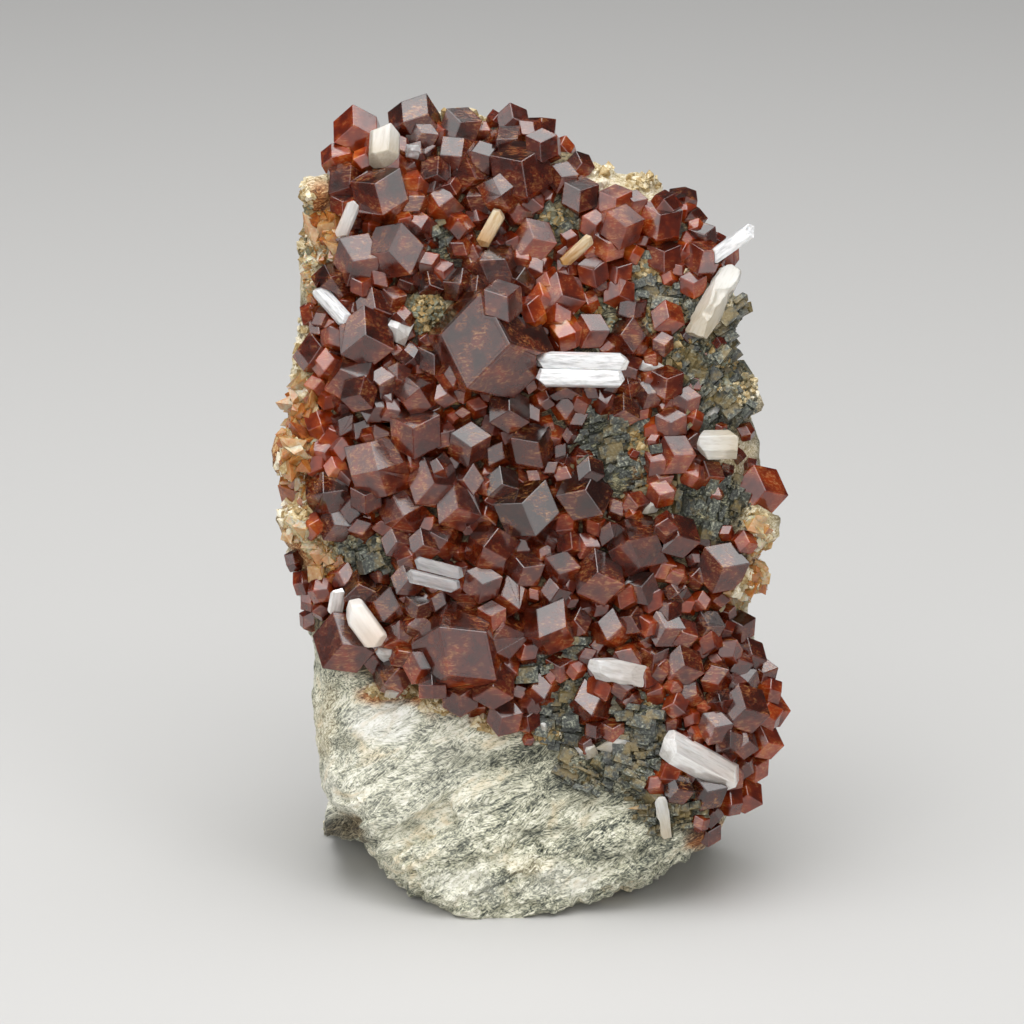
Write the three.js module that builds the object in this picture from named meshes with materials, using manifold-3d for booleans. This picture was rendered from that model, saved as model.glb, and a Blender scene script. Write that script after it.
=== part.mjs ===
// Garnet in matrix: a slab of pale schist that leans back on a flat broken base. Its front carries a crust of
// dodecahedral garnet crystals, blocky chlorite in the hollows between them, and scattered diopside prisms.
// Millimetres, +Z up, origin under the middle of the specimen.
//
// The specimen is drawn in a face frame: x runs across the crystal face, y up it and z out of it. One group
// then leans that frame back, so that the face looks a little upwards and the cut base lies flat.

import * as THREE from "three";
import { ConvexGeometry } from "three/addons/geometries/ConvexGeometry.js";
import { LoftGeometry } from "three/addons/geometries/LoftGeometry.js";
import { ImprovedNoise } from "three/addons/math/ImprovedNoise.js";
import { mergeVertices } from "three/addons/utils/BufferGeometryUtils.js";
import Module from "manifold-3d";

const wasm = await Module();
wasm.setup();

// Driving dimensions
const LEAN_DEG = 18; // how far the crystal face leans back from upright
const GAP = 0.3; // clearance between a crystal and what it sits on
const SLIVER = 0.1; // steps smaller than this, where two pieces meet, are smoothed away
const CRUMB = 1; // pieces with less volume than this, in cubic millimetres, are dropped
const LOFT_STEP = 5; // height between two sections of the slab
const RING = 28; // points around one section of the slab
const SQUARENESS = 4.5; // exponent of the slab's section: 2 is an ellipse, larger is squarer
const RIM_SHARE = 0.98; // crystals beyond this share of the slab's half width sit at its rim
const COARSE_GRAIN = { size: 9, height: 0.9 }; // broad unevenness of the broken rock
const FINE_GRAIN = { size: 4, height: 0.5 }; // unevenness on top of it

// The slab, section by section: height up the face, left edge, right edge, front level, back level.
const SECTIONS = [
  [-1, -8, -2, -0.6, -34],
  [0.4, -9.5, 0.5, 0, -34],
  [2, -13.2, 6, 0.3, -34],
  [4, -15.4, 12, 0.5, -34],
  [6, -17.2, 16, 0.6, -34],
  [8, -18.6, 19.3, 0.6, -34],
  [11, -22.6, 20.6, 0.6, -34],
  [13, -23.3, 21.6, 0.5, -34],
  [16, -23.8, 24.2, 0.3, -33.5],
  [20, -24.2, 26, 0.1, -33],
  [24, -24.3, 26, 0, -32.4],
  [28, -24.4, 24.4, 0.2, -32],
  [32, -24.8, 23.4, 0.4, -31.6],
  [36, -25.8, 22.8, 0.5, -31],
  [40, -27.3, 25.3, 0.7, -30.4],
  [44, -27.9, 25.8, 0.8, -29.6],
  [48, -28, 24.6, 0.8, -28.8],
  [52, -28, 24.4, 0.9, -28],
  [56, -27.2, 23.8, 0.9, -27],
  [60, -26.8, 22.2, 0.8, -26],
  [64, -26, 21.6, 0.7, -24.8],
  [68, -25.7, 21.2, 0.5, -23.5],
  [72, -25.8, 22, 0.3, -22],
  [76, -25.7, 19, 0, -20],
  [79, -24.6, 16, -0.6, -18.4],
  [82, -22, 7.5, -1.4, -16.6],
  [85, -19, 2, -2.6, -14.6],
  [87, -15.5, -1, -4.2, -12.4],
  [88.4, -11.5, -5.5, -6, -10.4],
];

// Swells (positive) and hollows (negative) of the slab's front: across, up, radius, rise.
const RELIEF = [
  [-12, 61, 13, 1.2],
  [-16, 77, 8, 1],
  [-8, 32, 11, 1],
  [8, 78, 7, 0.8],
  [22, 22, 8, 0.8],
  [8.5, 51.5, 5, -2.4],
  [3, 22, 6, -1.6],
  [2, 76, 4, -2.2],
  [12.5, 70, 4, -1.8],
  [-10, 73, 3, -2],
  [18, 46, 4, -1.4],
  [-18.5, 40, 4, -1],
  [-11, 66, 3.5, -1.6],
];

// Flat breaks round the slab's sides, top and back: outward normal, and a point that the break goes through.
const BREAKS = [
  { normal: [-0.76, 0.05, -0.65], through: [-24.4, 45, -15] },
  { normal: [-0.45, -0.15, -0.88], through: [-16, 24, -29] },
  { normal: [0.72, 0.08, -0.69], through: [21.4, 40, -17] },
  { normal: [0.55, -0.2, -0.81], through: [15, 20, -28.5] },
  { normal: [0.05, 0.16, -0.98], through: [0, 40, -27.6] },
  { normal: [-0.12, 0.42, -0.9], through: [-4, 70, -19] },
  { normal: [0.34, 0.72, -0.6], through: [12, 77, -9] },
  { normal: [-0.58, 0.62, -0.53], through: [-20, 80, -8] },
];

// Rock chunks that stand out of the slab's rim: across, up, out, radius.
const RIM_CHUNKS = [
  [-8, 86.6, -5.4, 2.6],
  [6.9, 80.2, -3.4, 2.4],
  [11.6, 79.4, -3.4, 2.6],
  [-23.6, 79.4, -2.8, 2.6],
  [20.8, 65.4, -2.4, 3],
  [22, 57, -2.6, 3.2],
  [23.6, 42.6, -3, 3.4],
  [22.6, 37, -2.6, 3],
  [-26.2, 51, -2.6, 3],
  [-25.6, 43.4, -2.4, 3],
];
const CHUNK_CORNERS = 12; // corners of one chunk, before the ones inside its hull drop out

// Ledges where sheets of schist split off the bare lower front: across, up, length, width and depth of cut.
const LEDGES = [
  [-9, 15.5, 26, 5, 0.9],
  [-2, 8.5, 30, 4, 1],
  [7, 5.6, 20, 3.4, 1.1],
  [-16, 8.4, 16, 3.6, 0.8],
  [-17.5, 24.2, 15, 3.6, 0.7],
];
const FOLIATION_DEG = 26; // slope of the schist's sheets across the front, up to the right

// The chip of darker rock that shows behind the slab's lower left corner.
const HEEL_CHIP = { at: [-20.4, 10.4, -17], size: [5.4, 3.4, 19], roll_deg: -6 };

// Chlorite grows as stacks of blocky plates in the hollows: across, up, spread, number of blocks.
const CHLORITE_PATCHES = [
  [8.8, 53.6, 2, 4],
  [8.6, 49.8, 1.8, 3],
  [11.2, 51.6, 1.2, 2],
  [17.6, 45, 2, 4],
  [19.8, 62.6, 1.4, 2],
  [-18.4, 40.2, 1.6, 3],
  [2.6, 22.6, 2, 3],
  [11.6, 22.4, 1.6, 3],
  [9.6, 17.4, 2, 4],
  [4.4, 18.2, 1.4, 2],
  [16.8, 11.6, 0.8, 1],
  [2.4, 75.4, 0.8, 1],
  [12, 69.4, 0.8, 1],
];
const CHLORITE_SIZE = [1.5, 2.9]; // smallest and largest block edge
const CHLORITE_SINK = 0.35; // share of a block that lies below the slab's front
const CHLORITE_SQUATNESS = [0.5, 1]; // smallest and largest share of its edge that a block's other sides have
const CHLORITE_TILT = 0.4; // largest tilt of a block out of the face, in radians

// Which part of a garnet looks out: a corner where three faces meet, a tip where four meet, or a face.
const CORNER = "corner";
const TIP = "tip";
const FACE = "face";

// Garnets: across, up, width that shows, what looks out, roll, lean to the right and lean up in degrees.
const GARNETS = [
  // crown and upper left
  [-13.2, 87, 4.6, FACE, 60, 0, 40],
  [-19.6, 86, 4.3, CORNER, 5, -5, 15],
  [-21.4, 83, 3.3, TIP, 20, -20, 5],
  [-16.6, 78.8, 5.2, FACE, 70, 20, 10],
  [-15, 73, 5.2, FACE, 100, 20, 0],
  [-18.9, 72.2, 4.8, CORNER, 40, -15, -10],
  [-21.7, 69.5, 3.8, TIP, 30, -10, 10],
  [-20.6, 80.4, 3.6, FACE, 50, -20, 10],
  [-21, 78, 2.4, CORNER, 60, 0, 10],
  [-11, 81.6, 3, FACE, 50, -20, 10],
  [-13.4, 83.4, 2.2, FACE, 60, 10, 30],
  [-8.4, 83, 4, FACE, 120, -20, 40],
  [-7.2, 81.4, 3.6, FACE, 80, -20, -10],
  [-6.2, 83, 3, FACE, 30, 20, 40],
  [-10.2, 77.8, 3.2, FACE, 80, 0, 40],
  [-6.2, 78.2, 3.2, FACE, 40, 0, 50],
  [-1.6, 81.2, 6, CORNER, 70, 0, 20],
  [-3.8, 79.2, 3.6, TIP, 30, 0, -10],
  [-4.4, 71, 4, FACE, 40, 0, 50],
  [-8.4, 69.2, 3.2, FACE, 120, -20, 40],
  [-6.4, 68.7, 3, FACE, 120, -30, 30],
  [-7, 71.4, 1.9, CORNER, 20, 0, 5],
  [-17.4, 66.6, 3.7, CORNER, 10, 0, 0],
  [-4, 67, 4, FACE, 20, 10, 50],
  [-0.8, 66, 3, FACE, 80, 30, 20],
  [-12.4, 85.4, 2.8, CORNER, 30, 0, 10],
  [-8.2, 86.4, 3.7, CORNER, 40, 0, 15],
  [-11.7, 74.1, 2.3, FACE, 100, 0, 40],
  [-11.5, 69.2, 2.4, CORNER, 10, 0, 0],
  // top right
  [-3.4, 84.4, 3.6, FACE, 50, 10, 50],
  [-2.5, 87.3, 2.9, CORNER, 10, 0, 10],
  [0.6, 86.2, 2.6, FACE, 120, -30, 40],
  [0.8, 84.2, 3, CORNER, 60, -10, 10],
  [4.7, 82.2, 2.4, CORNER, 20, 10, 10],
  [2.9, 80.9, 2.8, CORNER, 40, 0, 0],
  [4.8, 78.8, 3.5, CORNER, 55, 0, 15],
  [8.6, 78, 3.2, FACE, 0, 0, 50],
  [9, 75.6, 4, FACE, 0, 20, 30],
  [13.5, 76, 4.1, CORNER, 50, 0, 15],
  [16, 78.4, 2.6, FACE, 130, -20, 50],
  [14, 77.8, 2.4, FACE, 0, 40, 20],
  [6.2, 75.8, 2.6, FACE, 0, 10, 30],
  [7.9, 73.4, 3, CORNER, 50, 0, 5],
  [9, 70.6, 2.6, FACE, 170, 0, 50],
  [13.9, 72.2, 3.2, CORNER, 60, 0, 15],
  [18.2, 74.6, 2.4, FACE, 10, 0, 40],
  [17, 76.6, 2.2, FACE, 0, 40, 20],
  [18.4, 71.8, 3.6, FACE, 40, 20, 0],
  [17.1, 69.3, 2.5, CORNER, 62, 0, 0],
  [-0.2, 74, 4, CORNER, 20, 0, 5],
  [2.9, 68, 4.2, CORNER, 15, 0, 0],
  [-2, 69.4, 3.2, FACE, 20, 40, 20],
  [9, 68.6, 3, CORNER, 0, 0, -15],
  [5.9, 64.2, 3.3, CORNER, 30, 0, 0],
  [10.2, 63.4, 3.6, FACE, 90, 10, 10],
  [14.2, 65.6, 3, CORNER, 10, 5, 0],
  [3.5, 70.9, 2.1, CORNER, 60, 0, 20],
  [5.6, 67.4, 2, FACE, 70, 20, 30],
  [10.6, 78, 2.4, FACE, 170, 10, 40],
  [6.2, 70.6, 2.8, CORNER, 70, 0, 5],
  // middle and left
  [-5.2, 62.6, 10.2, CORNER, 20, 20, 0],
  [-18.3, 63.3, 5.3, CORNER, 5, 0, 5],
  [-24, 61.8, 3.4, FACE, 90, -20, 20],
  [-19.4, 58.8, 5, FACE, 110, 0, 40],
  [-19.2, 57.4, 3.2, FACE, 40, -20, 20],
  [-17.4, 55.9, 2.9, CORNER, 30, 0, 0],
  [-12.8, 57.2, 3.8, FACE, 170, -40, 20],
  [-11, 61, 3.2, CORNER, 60, 0, 15],
  [-15, 59.3, 2.6, CORNER, 0, 0, -10],
  [-13.6, 61.4, 2.2, FACE, 100, 10, 40],
  [-9, 59.2, 2.4, FACE, 90, 0, 10],
  [-23.4, 64.4, 2, FACE, 60, 20, 20],
  [-20.6, 54, 2.4, FACE, 60, 0, 0],
  [-18.8, 53.4, 2.4, FACE, 60, 0, 10],
  [-16.2, 57.2, 2, FACE, 110, 10, 20],
  [-12.8, 53, 5, CORNER, 60, -10, 10],
  [-23.3, 54, 2.8, TIP, 20, 0, 0],
  [-23, 51, 2.6, CORNER, 80, 0, 0],
  [-21, 51.4, 2.4, FACE, 90, 0, 0],
  [-17, 49.4, 5.6, TIP, 15, 0, -5],
  [-11.3, 47.9, 4.9, CORNER, 20, 5, -5],
  [-10.4, 49.4, 2.2, FACE, 90, 20, 40],
  [-7.4, 48, 3.2, FACE, 90, 20, 0],
  [-7.4, 52.2, 4, FACE, 0, 10, 20],
  [-22.4, 46.6, 4.4, TIP, 10, -10, 0],
  [-18.4, 46, 2.9, CORNER, 60, 0, 10],
  [-21.6, 43.4, 3.4, FACE, 80, -40, 0],
  [-10.2, 41.6, 3.2, FACE, 110, 0, 40],
  [-4.8, 40.6, 4.4, FACE, 90, -20, 50],
  [-15, 41.3, 2.9, CORNER, 20, 0, 0],
  [-2.9, 55.5, 4, CORNER, 0, 0, 0],
  [-8.4, 45.2, 4.2, CORNER, 10, 0, -5],
  [-14.3, 44.7, 4.3, TIP, 30, 0, -10],
  [-3.6, 47.6, 3.2, CORNER, 10, 0, 0],
  [-4.4, 50.9, 2.6, FACE, 60, 0, 0],
  // middle and right
  [3.2, 56, 2.6, FACE, 90, 0, 0],
  [3.2, 58.2, 3.2, CORNER, 0, 0, -5],
  [-0.8, 51.6, 4.4, CORNER, 80, 20, 10],
  [4.8, 50.4, 2.8, FACE, 50, 20, 40],
  [-0.6, 44.4, 5.8, FACE, 80, 20, 10],
  [5.2, 46.2, 5, FACE, 160, -10, -20],
  [5.9, 49, 2.5, CORNER, 10, 0, 0],
  [2.8, 49.8, 2.4, FACE, 110, -10, 40],
  [14.1, 58.4, 3.2, CORNER, 55, 0, 15],
  [12.2, 57.3, 2.6, CORNER, 40, 0, 0],
  [10, 58.4, 2.6, TIP, 10, 0, 0],
  [9.5, 55.6, 3, CORNER, 0, 0, 0],
  [14.6, 54, 3, CORNER, 60, 0, 5],
  [16.2, 56.6, 2.6, CORNER, 50, 5, 0],
  [15, 50.9, 3.7, CORNER, 30, 0, -5],
  [13.4, 48.2, 2.4, CORNER, 40, 0, 0],
  [18.8, 48.8, 2.6, CORNER, 20, 0, -10],
  [24.2, 46.9, 4.8, CORNER, 20, 15, 0],
  [10.8, 40.8, 5.2, FACE, 150, 30, -10],
  [15.2, 42, 4, CORNER, 15, 5, 0],
  [8, 42.2, 2.4, FACE, 70, -20, 0],
  [20, 38.5, 4.8, CORNER, 40, 5, 0],
  // lower middle
  [-1.3, 38.3, 3.5, CORNER, 40, 0, 5],
  [2.8, 38.6, 3.6, FACE, 110, -40, -30],
  [7, 37.2, 4.8, FACE, 10, 0, -20],
  [-2.8, 35.2, 3.6, FACE, 110, 10, 20],
  [-4, 31, 5, FACE, 10, 20, -10],
  [1.2, 32.2, 5, FACE, 60, 10, 20],
  [4.6, 32.4, 2.6, FACE, 100, 20, 20],
  [8, 31.8, 3.4, FACE, 80, 0, 20],
  [10.4, 32.6, 2.8, FACE, 90, 30, 20],
  [11.8, 30.6, 2.4, FACE, 70, 0, 40],
  [14.1, 31.8, 3.4, CORNER, 30, 0, 5],
  [14.3, 34, 2.6, CORNER, 60, 0, 20],
  [11.4, 36.4, 3.2, CORNER, 80, 0, 0],
  [2.6, 27.7, 2.7, CORNER, 60, 0, 0],
  [0.6, 25.2, 2.8, FACE, 100, 0, 20],
  [6, 23.8, 4, FACE, 100, -10, 20],
  [-3.2, 22.4, 3.4, FACE, 160, 0, 30],
  [-1, 21.9, 2.5, CORNER, 70, 0, 15],
  [8.3, 20.8, 2.2, CORNER, 60, 0, 10],
  // lower left
  [-8.4, 29.8, 8.0, TIP, 0, -20, 25],
  [-4.8, 33.2, 2.7, CORNER, 60, 0, 5],
  [-12.4, 28, 3.2, CORNER, 30, 0, -10],
  [-8.2, 24.5, 3.5, CORNER, 60, 0, 5],
  [-4.6, 25.7, 4, CORNER, 0, 0, 0],
  [-11.2, 25.9, 2.6, TIP, 0, 0, 0],
  [-20.6, 30.6, 5.8, CORNER, 20, -5, -5],
  [-15.4, 26.8, 3.4, FACE, 80, -20, 30],
  [-17.6, 29, 2.6, TIP, 40, 0, 0],
  [-16.2, 34.6, 3.5, FACE, 80, 0, 0],
  [-19, 35.8, 3.4, FACE, 10, 0, -10],
  [-13.8, 37.2, 3.1, CORNER, 20, 0, 0],
  [-12.8, 34.4, 2.7, CORNER, 50, 0, 0],
  [-14.8, 31.2, 3, CORNER, 0, 0, -10],
  [-5.8, 36.9, 3.5, CORNER, 50, 0, -5],
  [-12.2, 41, 2.9, CORNER, 10, 0, 0],
  // lower right cluster
  [16, 27.9, 3.6, CORNER, 10, 0, 0],
  [12.8, 28.9, 2.8, CORNER, 55, 0, 5],
  [16.6, 24.8, 2.5, FACE, 60, 0, 20],
  [19.4, 26.6, 2.8, FACE, 20, 0, 10],
  [22.7, 23.2, 4.4, CORNER, 15, 0, 0],
  [25.6, 22.8, 3.1, CORNER, 30, 15, 0],
  [24.6, 26.8, 2.8, CORNER, 50, 10, 5],
  [22.8, 26.4, 2.4, FACE, 20, 0, 20],
  [20, 24, 2.5, TIP, 10, 0, 0],
  [19.4, 21.2, 3.2, CORNER, 40, 0, 0],
  [22.2, 19.4, 2.8, FACE, 70, 0, 20],
  [24.8, 19.4, 3.1, CORNER, 20, 15, 0],
  [23.8, 16.6, 2.8, CORNER, 60, 10, 5],
  [22.8, 13.6, 3.3, CORNER, 0, 10, 0],
  [18.6, 14.4, 3.6, CORNER, 40, 0, -5],
  [15.4, 14.5, 2.7, CORNER, 20, 0, 0],
  [18.8, 9.6, 2.4, CORNER, 60, 0, 0],
  [23.2, 29, 3, CORNER, 10, 10, 0],
  [20.8, 29.4, 2.6, FACE, 40, 0, 10],
  [22.2, 32, 2.8, CORNER, 60, 10, 5],
  [18.8, 32.2, 2.8, CORNER, 30, 0, 0],
];
const GROWN_IN = 1.04; // how much wider a garnet is than it shows, where its neighbours have grown into it
const SEAT_ON_ROCK = 0.1; // how far a garnet's middle stands off the slab, as a share of its width
const SEAT_ON_CRYSTAL = -0.12; // the same where it sits on a larger garnet
const STRETCH = 0.07; // largest share by which a garnet grew longer along one of its axes

// Diopside: name, root and tip across and up the face, width, share of the width that it is thick, length of
// the sloping tip, and how far the middle of the root and of the tip stands off the slab.
const PRISMS = [
  ["diopside_crown", [-16.5, 82.2], [-16.6, 86.6], 3, 0.8, 0.8, 2.2, 4.2],
  ["diopside_left", [-23.8, 68.8], [-20.2, 64.9], 1.7, 0.8, 0.6, 2, 2.6],
  ["diopside_left_sliver", [-21.2, 74.4], [-19.7, 78.2], 1.2, 0.6, 0.8, 1.4, 2.4],
  ["diopside_pair_upper", [0.2, 60.9], [9.8, 60.8], 1.5, 0.9, 0.9, 4, 5],
  ["diopside_pair_lower", [0.2, 59.05], [9.3, 59.05], 1.6, 0.9, 0.9, 4, 5],
  ["diopside_right_tip", [19, 72], [23.7, 75.5], 1.5, 0.8, 0.6, 1.4, 4.6],
  ["diopside_right_stout", [17.4, 63.8], [21.3, 71.2], 2.6, 0.7, 1, 1.9, 3.4],
  ["diopside_right_block", [17.5, 51.8], [21.7, 52.3], 3.1, 0.8, 0.5, 2.1, 3],
  ["diopside_lower_left", [-16.8, 30.2], [-20.5, 34.7], 2.4, 0.9, 1.3, 3, 4],
  ["diopside_lower_left_stub", [-21.9, 32.8], [-21.4, 36.3], 1.5, 0.7, 0.5, 1.6, 2],
  ["diopside_clear_upper", [-8, 37.9], [-13, 39.1], 1, 0.8, 0.6, 3, 3.4],
  ["diopside_clear_lower", [-8.4, 36.5], [-13.8, 37.7], 1, 0.8, 0.6, 3, 3.4],
  ["diopside_lower_fan", [11.6, 26.9], [5.8, 27.9], 2.3, 0.7, 1, 2.2, 2.8],
  ["diopside_long", [21.9, 15.3], [13.5, 19.5], 2.5, 0.8, 1.4, 3, 2.6],
  ["diopside_tan_right", [2.9, 71.4], [5.9, 74.3], 1.1, 0.8, 0.6, 2, 3],
  ["diopside_tan_centre", [-5.9, 73.4], [-3.9, 77.2], 1.3, 0.7, 0.4, 1.6, 2.6],
  ["diopside_blade", [14.3, 9.3], [13.5, 13.6], 1.2, 0.6, 0.5, 1, 1.4],
];
const PRISM_CHAMFER = 0.3; // share of a prism's half width taken off its long edges
const PRISM_TIP_SHARE = 0.4; // width left at the end of the sloping tip, as a share of the prism's width
const PRISM_TIP_SHIFT = 0.15; // how far the end lies to one side, as a share of the prism's width

// Heights and places across at which the face's parts begin, for naming.
const UPPER_FROM = 62;
const MIDDLE_FROM = 34;
const CENTRE_FROM = -8;
const RIGHT_FROM = 10;

const GARNET = new THREE.MeshStandardMaterial({ color: 0x6e2616, roughness: 0.25, metalness: 0 });
const SCHIST = new THREE.MeshStandardMaterial({ color: 0x9a9c8c, roughness: 0.85, metalness: 0 });
const DIOPSIDE = new THREE.MeshStandardMaterial({ color: 0xe8e3d8, roughness: 0.4, metalness: 0 });

const lean = THREE.MathUtils.degToRad(LEAN_DEG);
const perlin = new ImprovedNoise();

// Seeded random numbers from 0 to 1, the same on every run.
function randomSource(seed) {
  let state = seed;
  return () => {
    state = (Math.imul(state, 1664525) + 1013904223) >>> 0;
    return state / 4294967296;
  };
}

// A three.js geometry as a solid for joining and cutting.
function solidOf(geometry) {
  const bare = geometry.index ? geometry.toNonIndexed() : geometry.clone();
  bare.deleteAttribute("normal");
  bare.deleteAttribute("uv");
  const merged = mergeVertices(bare, 1e-4);
  return new wasm.Manifold(
    new wasm.Mesh({
      numProp: 3,
      vertProperties: merged.attributes.position.array,
      triVerts: new Uint32Array(merged.index.array),
    }),
  );
}

// A joined or cut solid as a named three.js mesh.
function meshOf(solid, name, material) {
  const { vertProperties, triVerts } = solid.getMesh();
  const geometry = new THREE.BufferGeometry()
    .setAttribute("position", new THREE.BufferAttribute(vertProperties, 3))
    .setIndex(new THREE.BufferAttribute(triVerts, 1));
  geometry.computeVertexNormals();
  const mesh = new THREE.Mesh(geometry, material);
  mesh.name = name;
  return mesh;
}

// Everything on the far side of a plane, as a big block to cut away.
function beyondPlane(normal, through) {
  const REACH = 240; // larger than the specimen
  const direction = new THREE.Vector3(...normal).normalize();
  const turn = new THREE.Quaternion().setFromUnitVectors(new THREE.Vector3(0, 0, 1), direction);
  const centre = new THREE.Vector3(...through).addScaledVector(direction, REACH / 2);
  const block = new THREE.BoxGeometry(REACH, REACH, REACH);
  return solidOf(block.applyQuaternion(turn).translate(centre.x, centre.y, centre.z));
}

// The slab's edges and levels at one height, between the two listed sections around it.
function sectionAt(height) {
  const up = THREE.MathUtils.clamp(height, SECTIONS[0][0], SECTIONS.at(-1)[0]);
  const next = Math.max(1, SECTIONS.findIndex((row) => row[0] >= up));
  const [low, high] = [SECTIONS[next - 1], SECTIONS[next]];
  const share = THREE.MathUtils.clamp((up - low[0]) / (high[0] - low[0]), 0, 1);
  const [left, right, front, back] = [1, 2, 3, 4].map((i) => THREE.MathUtils.lerp(low[i], high[i], share));
  return { left, right, front, back };
}

// Unevenness of one grain size at a place on the slab's skin.
function grainRise({ size, height }, across, up, out) {
  return height * perlin.noise(across / size, up / size, out / size);
}

// Swells, hollows and roughness of the slab at a place on its skin, as a distance outwards.
function roughness(across, up, out, onFront) {
  let rise = grainRise(COARSE_GRAIN, across, up, out) + grainRise(FINE_GRAIN, across, up, out);
  if (onFront) {
    for (const [x, y, radius, height] of RELIEF) {
      rise += height * Math.exp(-((across - x) ** 2 + (up - y) ** 2) / (0.5 * radius * radius));
    }
  }
  return rise;
}

// How far the slab's front stands out at a place on the face.
function frontLevel(across, up) {
  const { left, right, front, back } = sectionAt(up);
  const sideways = Math.min(RIM_SHARE, Math.abs((across - (left + right) / 2) / ((right - left) / 2)));
  const bulge = (1 - sideways ** SQUARENESS) ** (1 / SQUARENESS);
  const out = (front + back) / 2 + (bulge * (front - back)) / 2;
  return out + roughness(across, up, out, true);
}

// One section of the slab, a squarish ring of points made rough, set at a height that may not be its own.
function slabRing(up, atHeight, grow) {
  const { left, right, front, back } = sectionAt(up);
  const centre = new THREE.Vector2((left + right) / 2, (front + back) / 2);
  const half = new THREE.Vector2((right - left) / 2, (front - back) / 2);
  const soften = (value) => Math.sign(value) * Math.abs(value) ** (2 / SQUARENESS);
  return Array.from({ length: RING }, (_, i) => {
    const angle = (2 * Math.PI * i) / RING;
    const offset = new THREE.Vector2(soften(Math.sin(angle)) * half.x, soften(Math.cos(angle)) * half.y);
    const spot = offset.clone().add(centre);
    const outward = new THREE.Vector2(Math.sin(angle), Math.cos(angle)).normalize();
    const rise = roughness(spot.x, up, spot.y, Math.cos(angle) > 0) + grow;
    spot.addScaledVector(outward, rise);
    return new THREE.Vector3(spot.x, atHeight, spot.y);
  });
}

// The wedge of rock missing along one ledge: flush with the slab on its upper side, deep on its lower side.
function ledgeCut([across, up, length, width, depth], grow) {
  const CLEAR = 6; // reaches out of the rock
  const wedge = new ConvexGeometry(
    [-length / 2, length / 2].flatMap((x) => [
      new THREE.Vector3(x, width / 2, grow),
      new THREE.Vector3(x, -width / 2, grow - depth),
      new THREE.Vector3(x, -width / 2, CLEAR),
      new THREE.Vector3(x, width / 2, CLEAR),
    ]),
  );
  wedge.rotateZ(THREE.MathUtils.degToRad(FOLIATION_DEG));
  return solidOf(wedge.translate(across, up, frontLevel(across, up)));
}

// A chunk of rock: the hull of random points on a ball.
function chunk(radius, random) {
  const corners = Array.from({ length: CHUNK_CORNERS }, () => {
    const [height, turn] = [2 * random() - 1, 2 * Math.PI * random()];
    const ring = Math.sqrt(1 - height * height);
    return new THREE.Vector3(ring * Math.cos(turn), ring * Math.sin(turn), height).multiplyScalar(radius);
  });
  return new ConvexGeometry(corners);
}

// A stack of chlorite plates seen as one tilted block.
function chloriteBlock(edge, grow, random) {
  const squat = () => edge * THREE.MathUtils.lerp(...CHLORITE_SQUATNESS, random());
  const tilt = () => THREE.MathUtils.lerp(-CHLORITE_TILT, CHLORITE_TILT, random());
  const block = new THREE.BoxGeometry(edge + 2 * grow, squat() + 2 * grow, squat() + 2 * grow);
  return block.rotateZ(Math.PI * random()).rotateX(tilt()).rotateY(tilt());
}

// The chlorite blocks of one patch, sunk into the slab's front.
function chloritePatch([across, up, spread, count], grow, random) {
  return Array.from({ length: count }, () => {
    const edge = THREE.MathUtils.lerp(...CHLORITE_SIZE, random());
    const reach = spread * Math.sqrt(random());
    const angle = 2 * Math.PI * random();
    const [x, y] = [across + reach * Math.cos(angle), up + reach * Math.sin(angle)];
    const z = frontLevel(x, y) + edge * (0.5 - CHLORITE_SINK);
    return solidOf(chloriteBlock(edge, grow, random).translate(x, y, z));
  });
}

// The matrix: the broken slab with its rim chunks, heel chip and chlorite, cut flat where it stands.
function matrixSolid(grow) {
  const random = randomSource(11);
  const [lowest, highest] = [SECTIONS[0][0], SECTIONS.at(-1)[0]];
  const steps = Math.round((highest - lowest) / LOFT_STEP);
  const rings = Array.from({ length: steps + 1 }, (_, i) => {
    const up = THREE.MathUtils.lerp(lowest, highest, i / steps);
    return slabRing(up, up + grow * ((2 * i) / steps - 1), grow);
  });
  let slab = solidOf(new LoftGeometry(rings, { capStart: true, capEnd: true }));
  for (const { normal, through } of BREAKS) {
    const outward = new THREE.Vector3(...normal).normalize();
    const moved = new THREE.Vector3(...through).addScaledVector(outward, grow);
    slab = slab.subtract(beyondPlane(normal, moved.toArray()));
  }
  slab = slab.subtract(wasm.Manifold.union(LEDGES.map((ledge) => ledgeCut(ledge, grow))));
  const chip = new THREE.BoxGeometry(...HEEL_CHIP.size.map((s) => s + 2 * grow));
  chip.rotateZ(THREE.MathUtils.degToRad(HEEL_CHIP.roll_deg)).translate(...HEEL_CHIP.at);
  const chunks = RIM_CHUNKS.map(([x, y, z, radius]) => {
    return solidOf(chunk(radius + grow, random).translate(x, y, z));
  });
  const chlorite = CHLORITE_PATCHES.flatMap((patch) => chloritePatch(patch, grow, random));
  const joined = wasm.Manifold.union([slab, solidOf(chip), ...chunks, ...chlorite]);
  const ground = beyondPlane([0, -Math.cos(lean), -Math.sin(lean)], [0, 0, 0]);
  return joined.subtract(ground).asOriginal().simplify(SLIVER);
}

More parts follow.
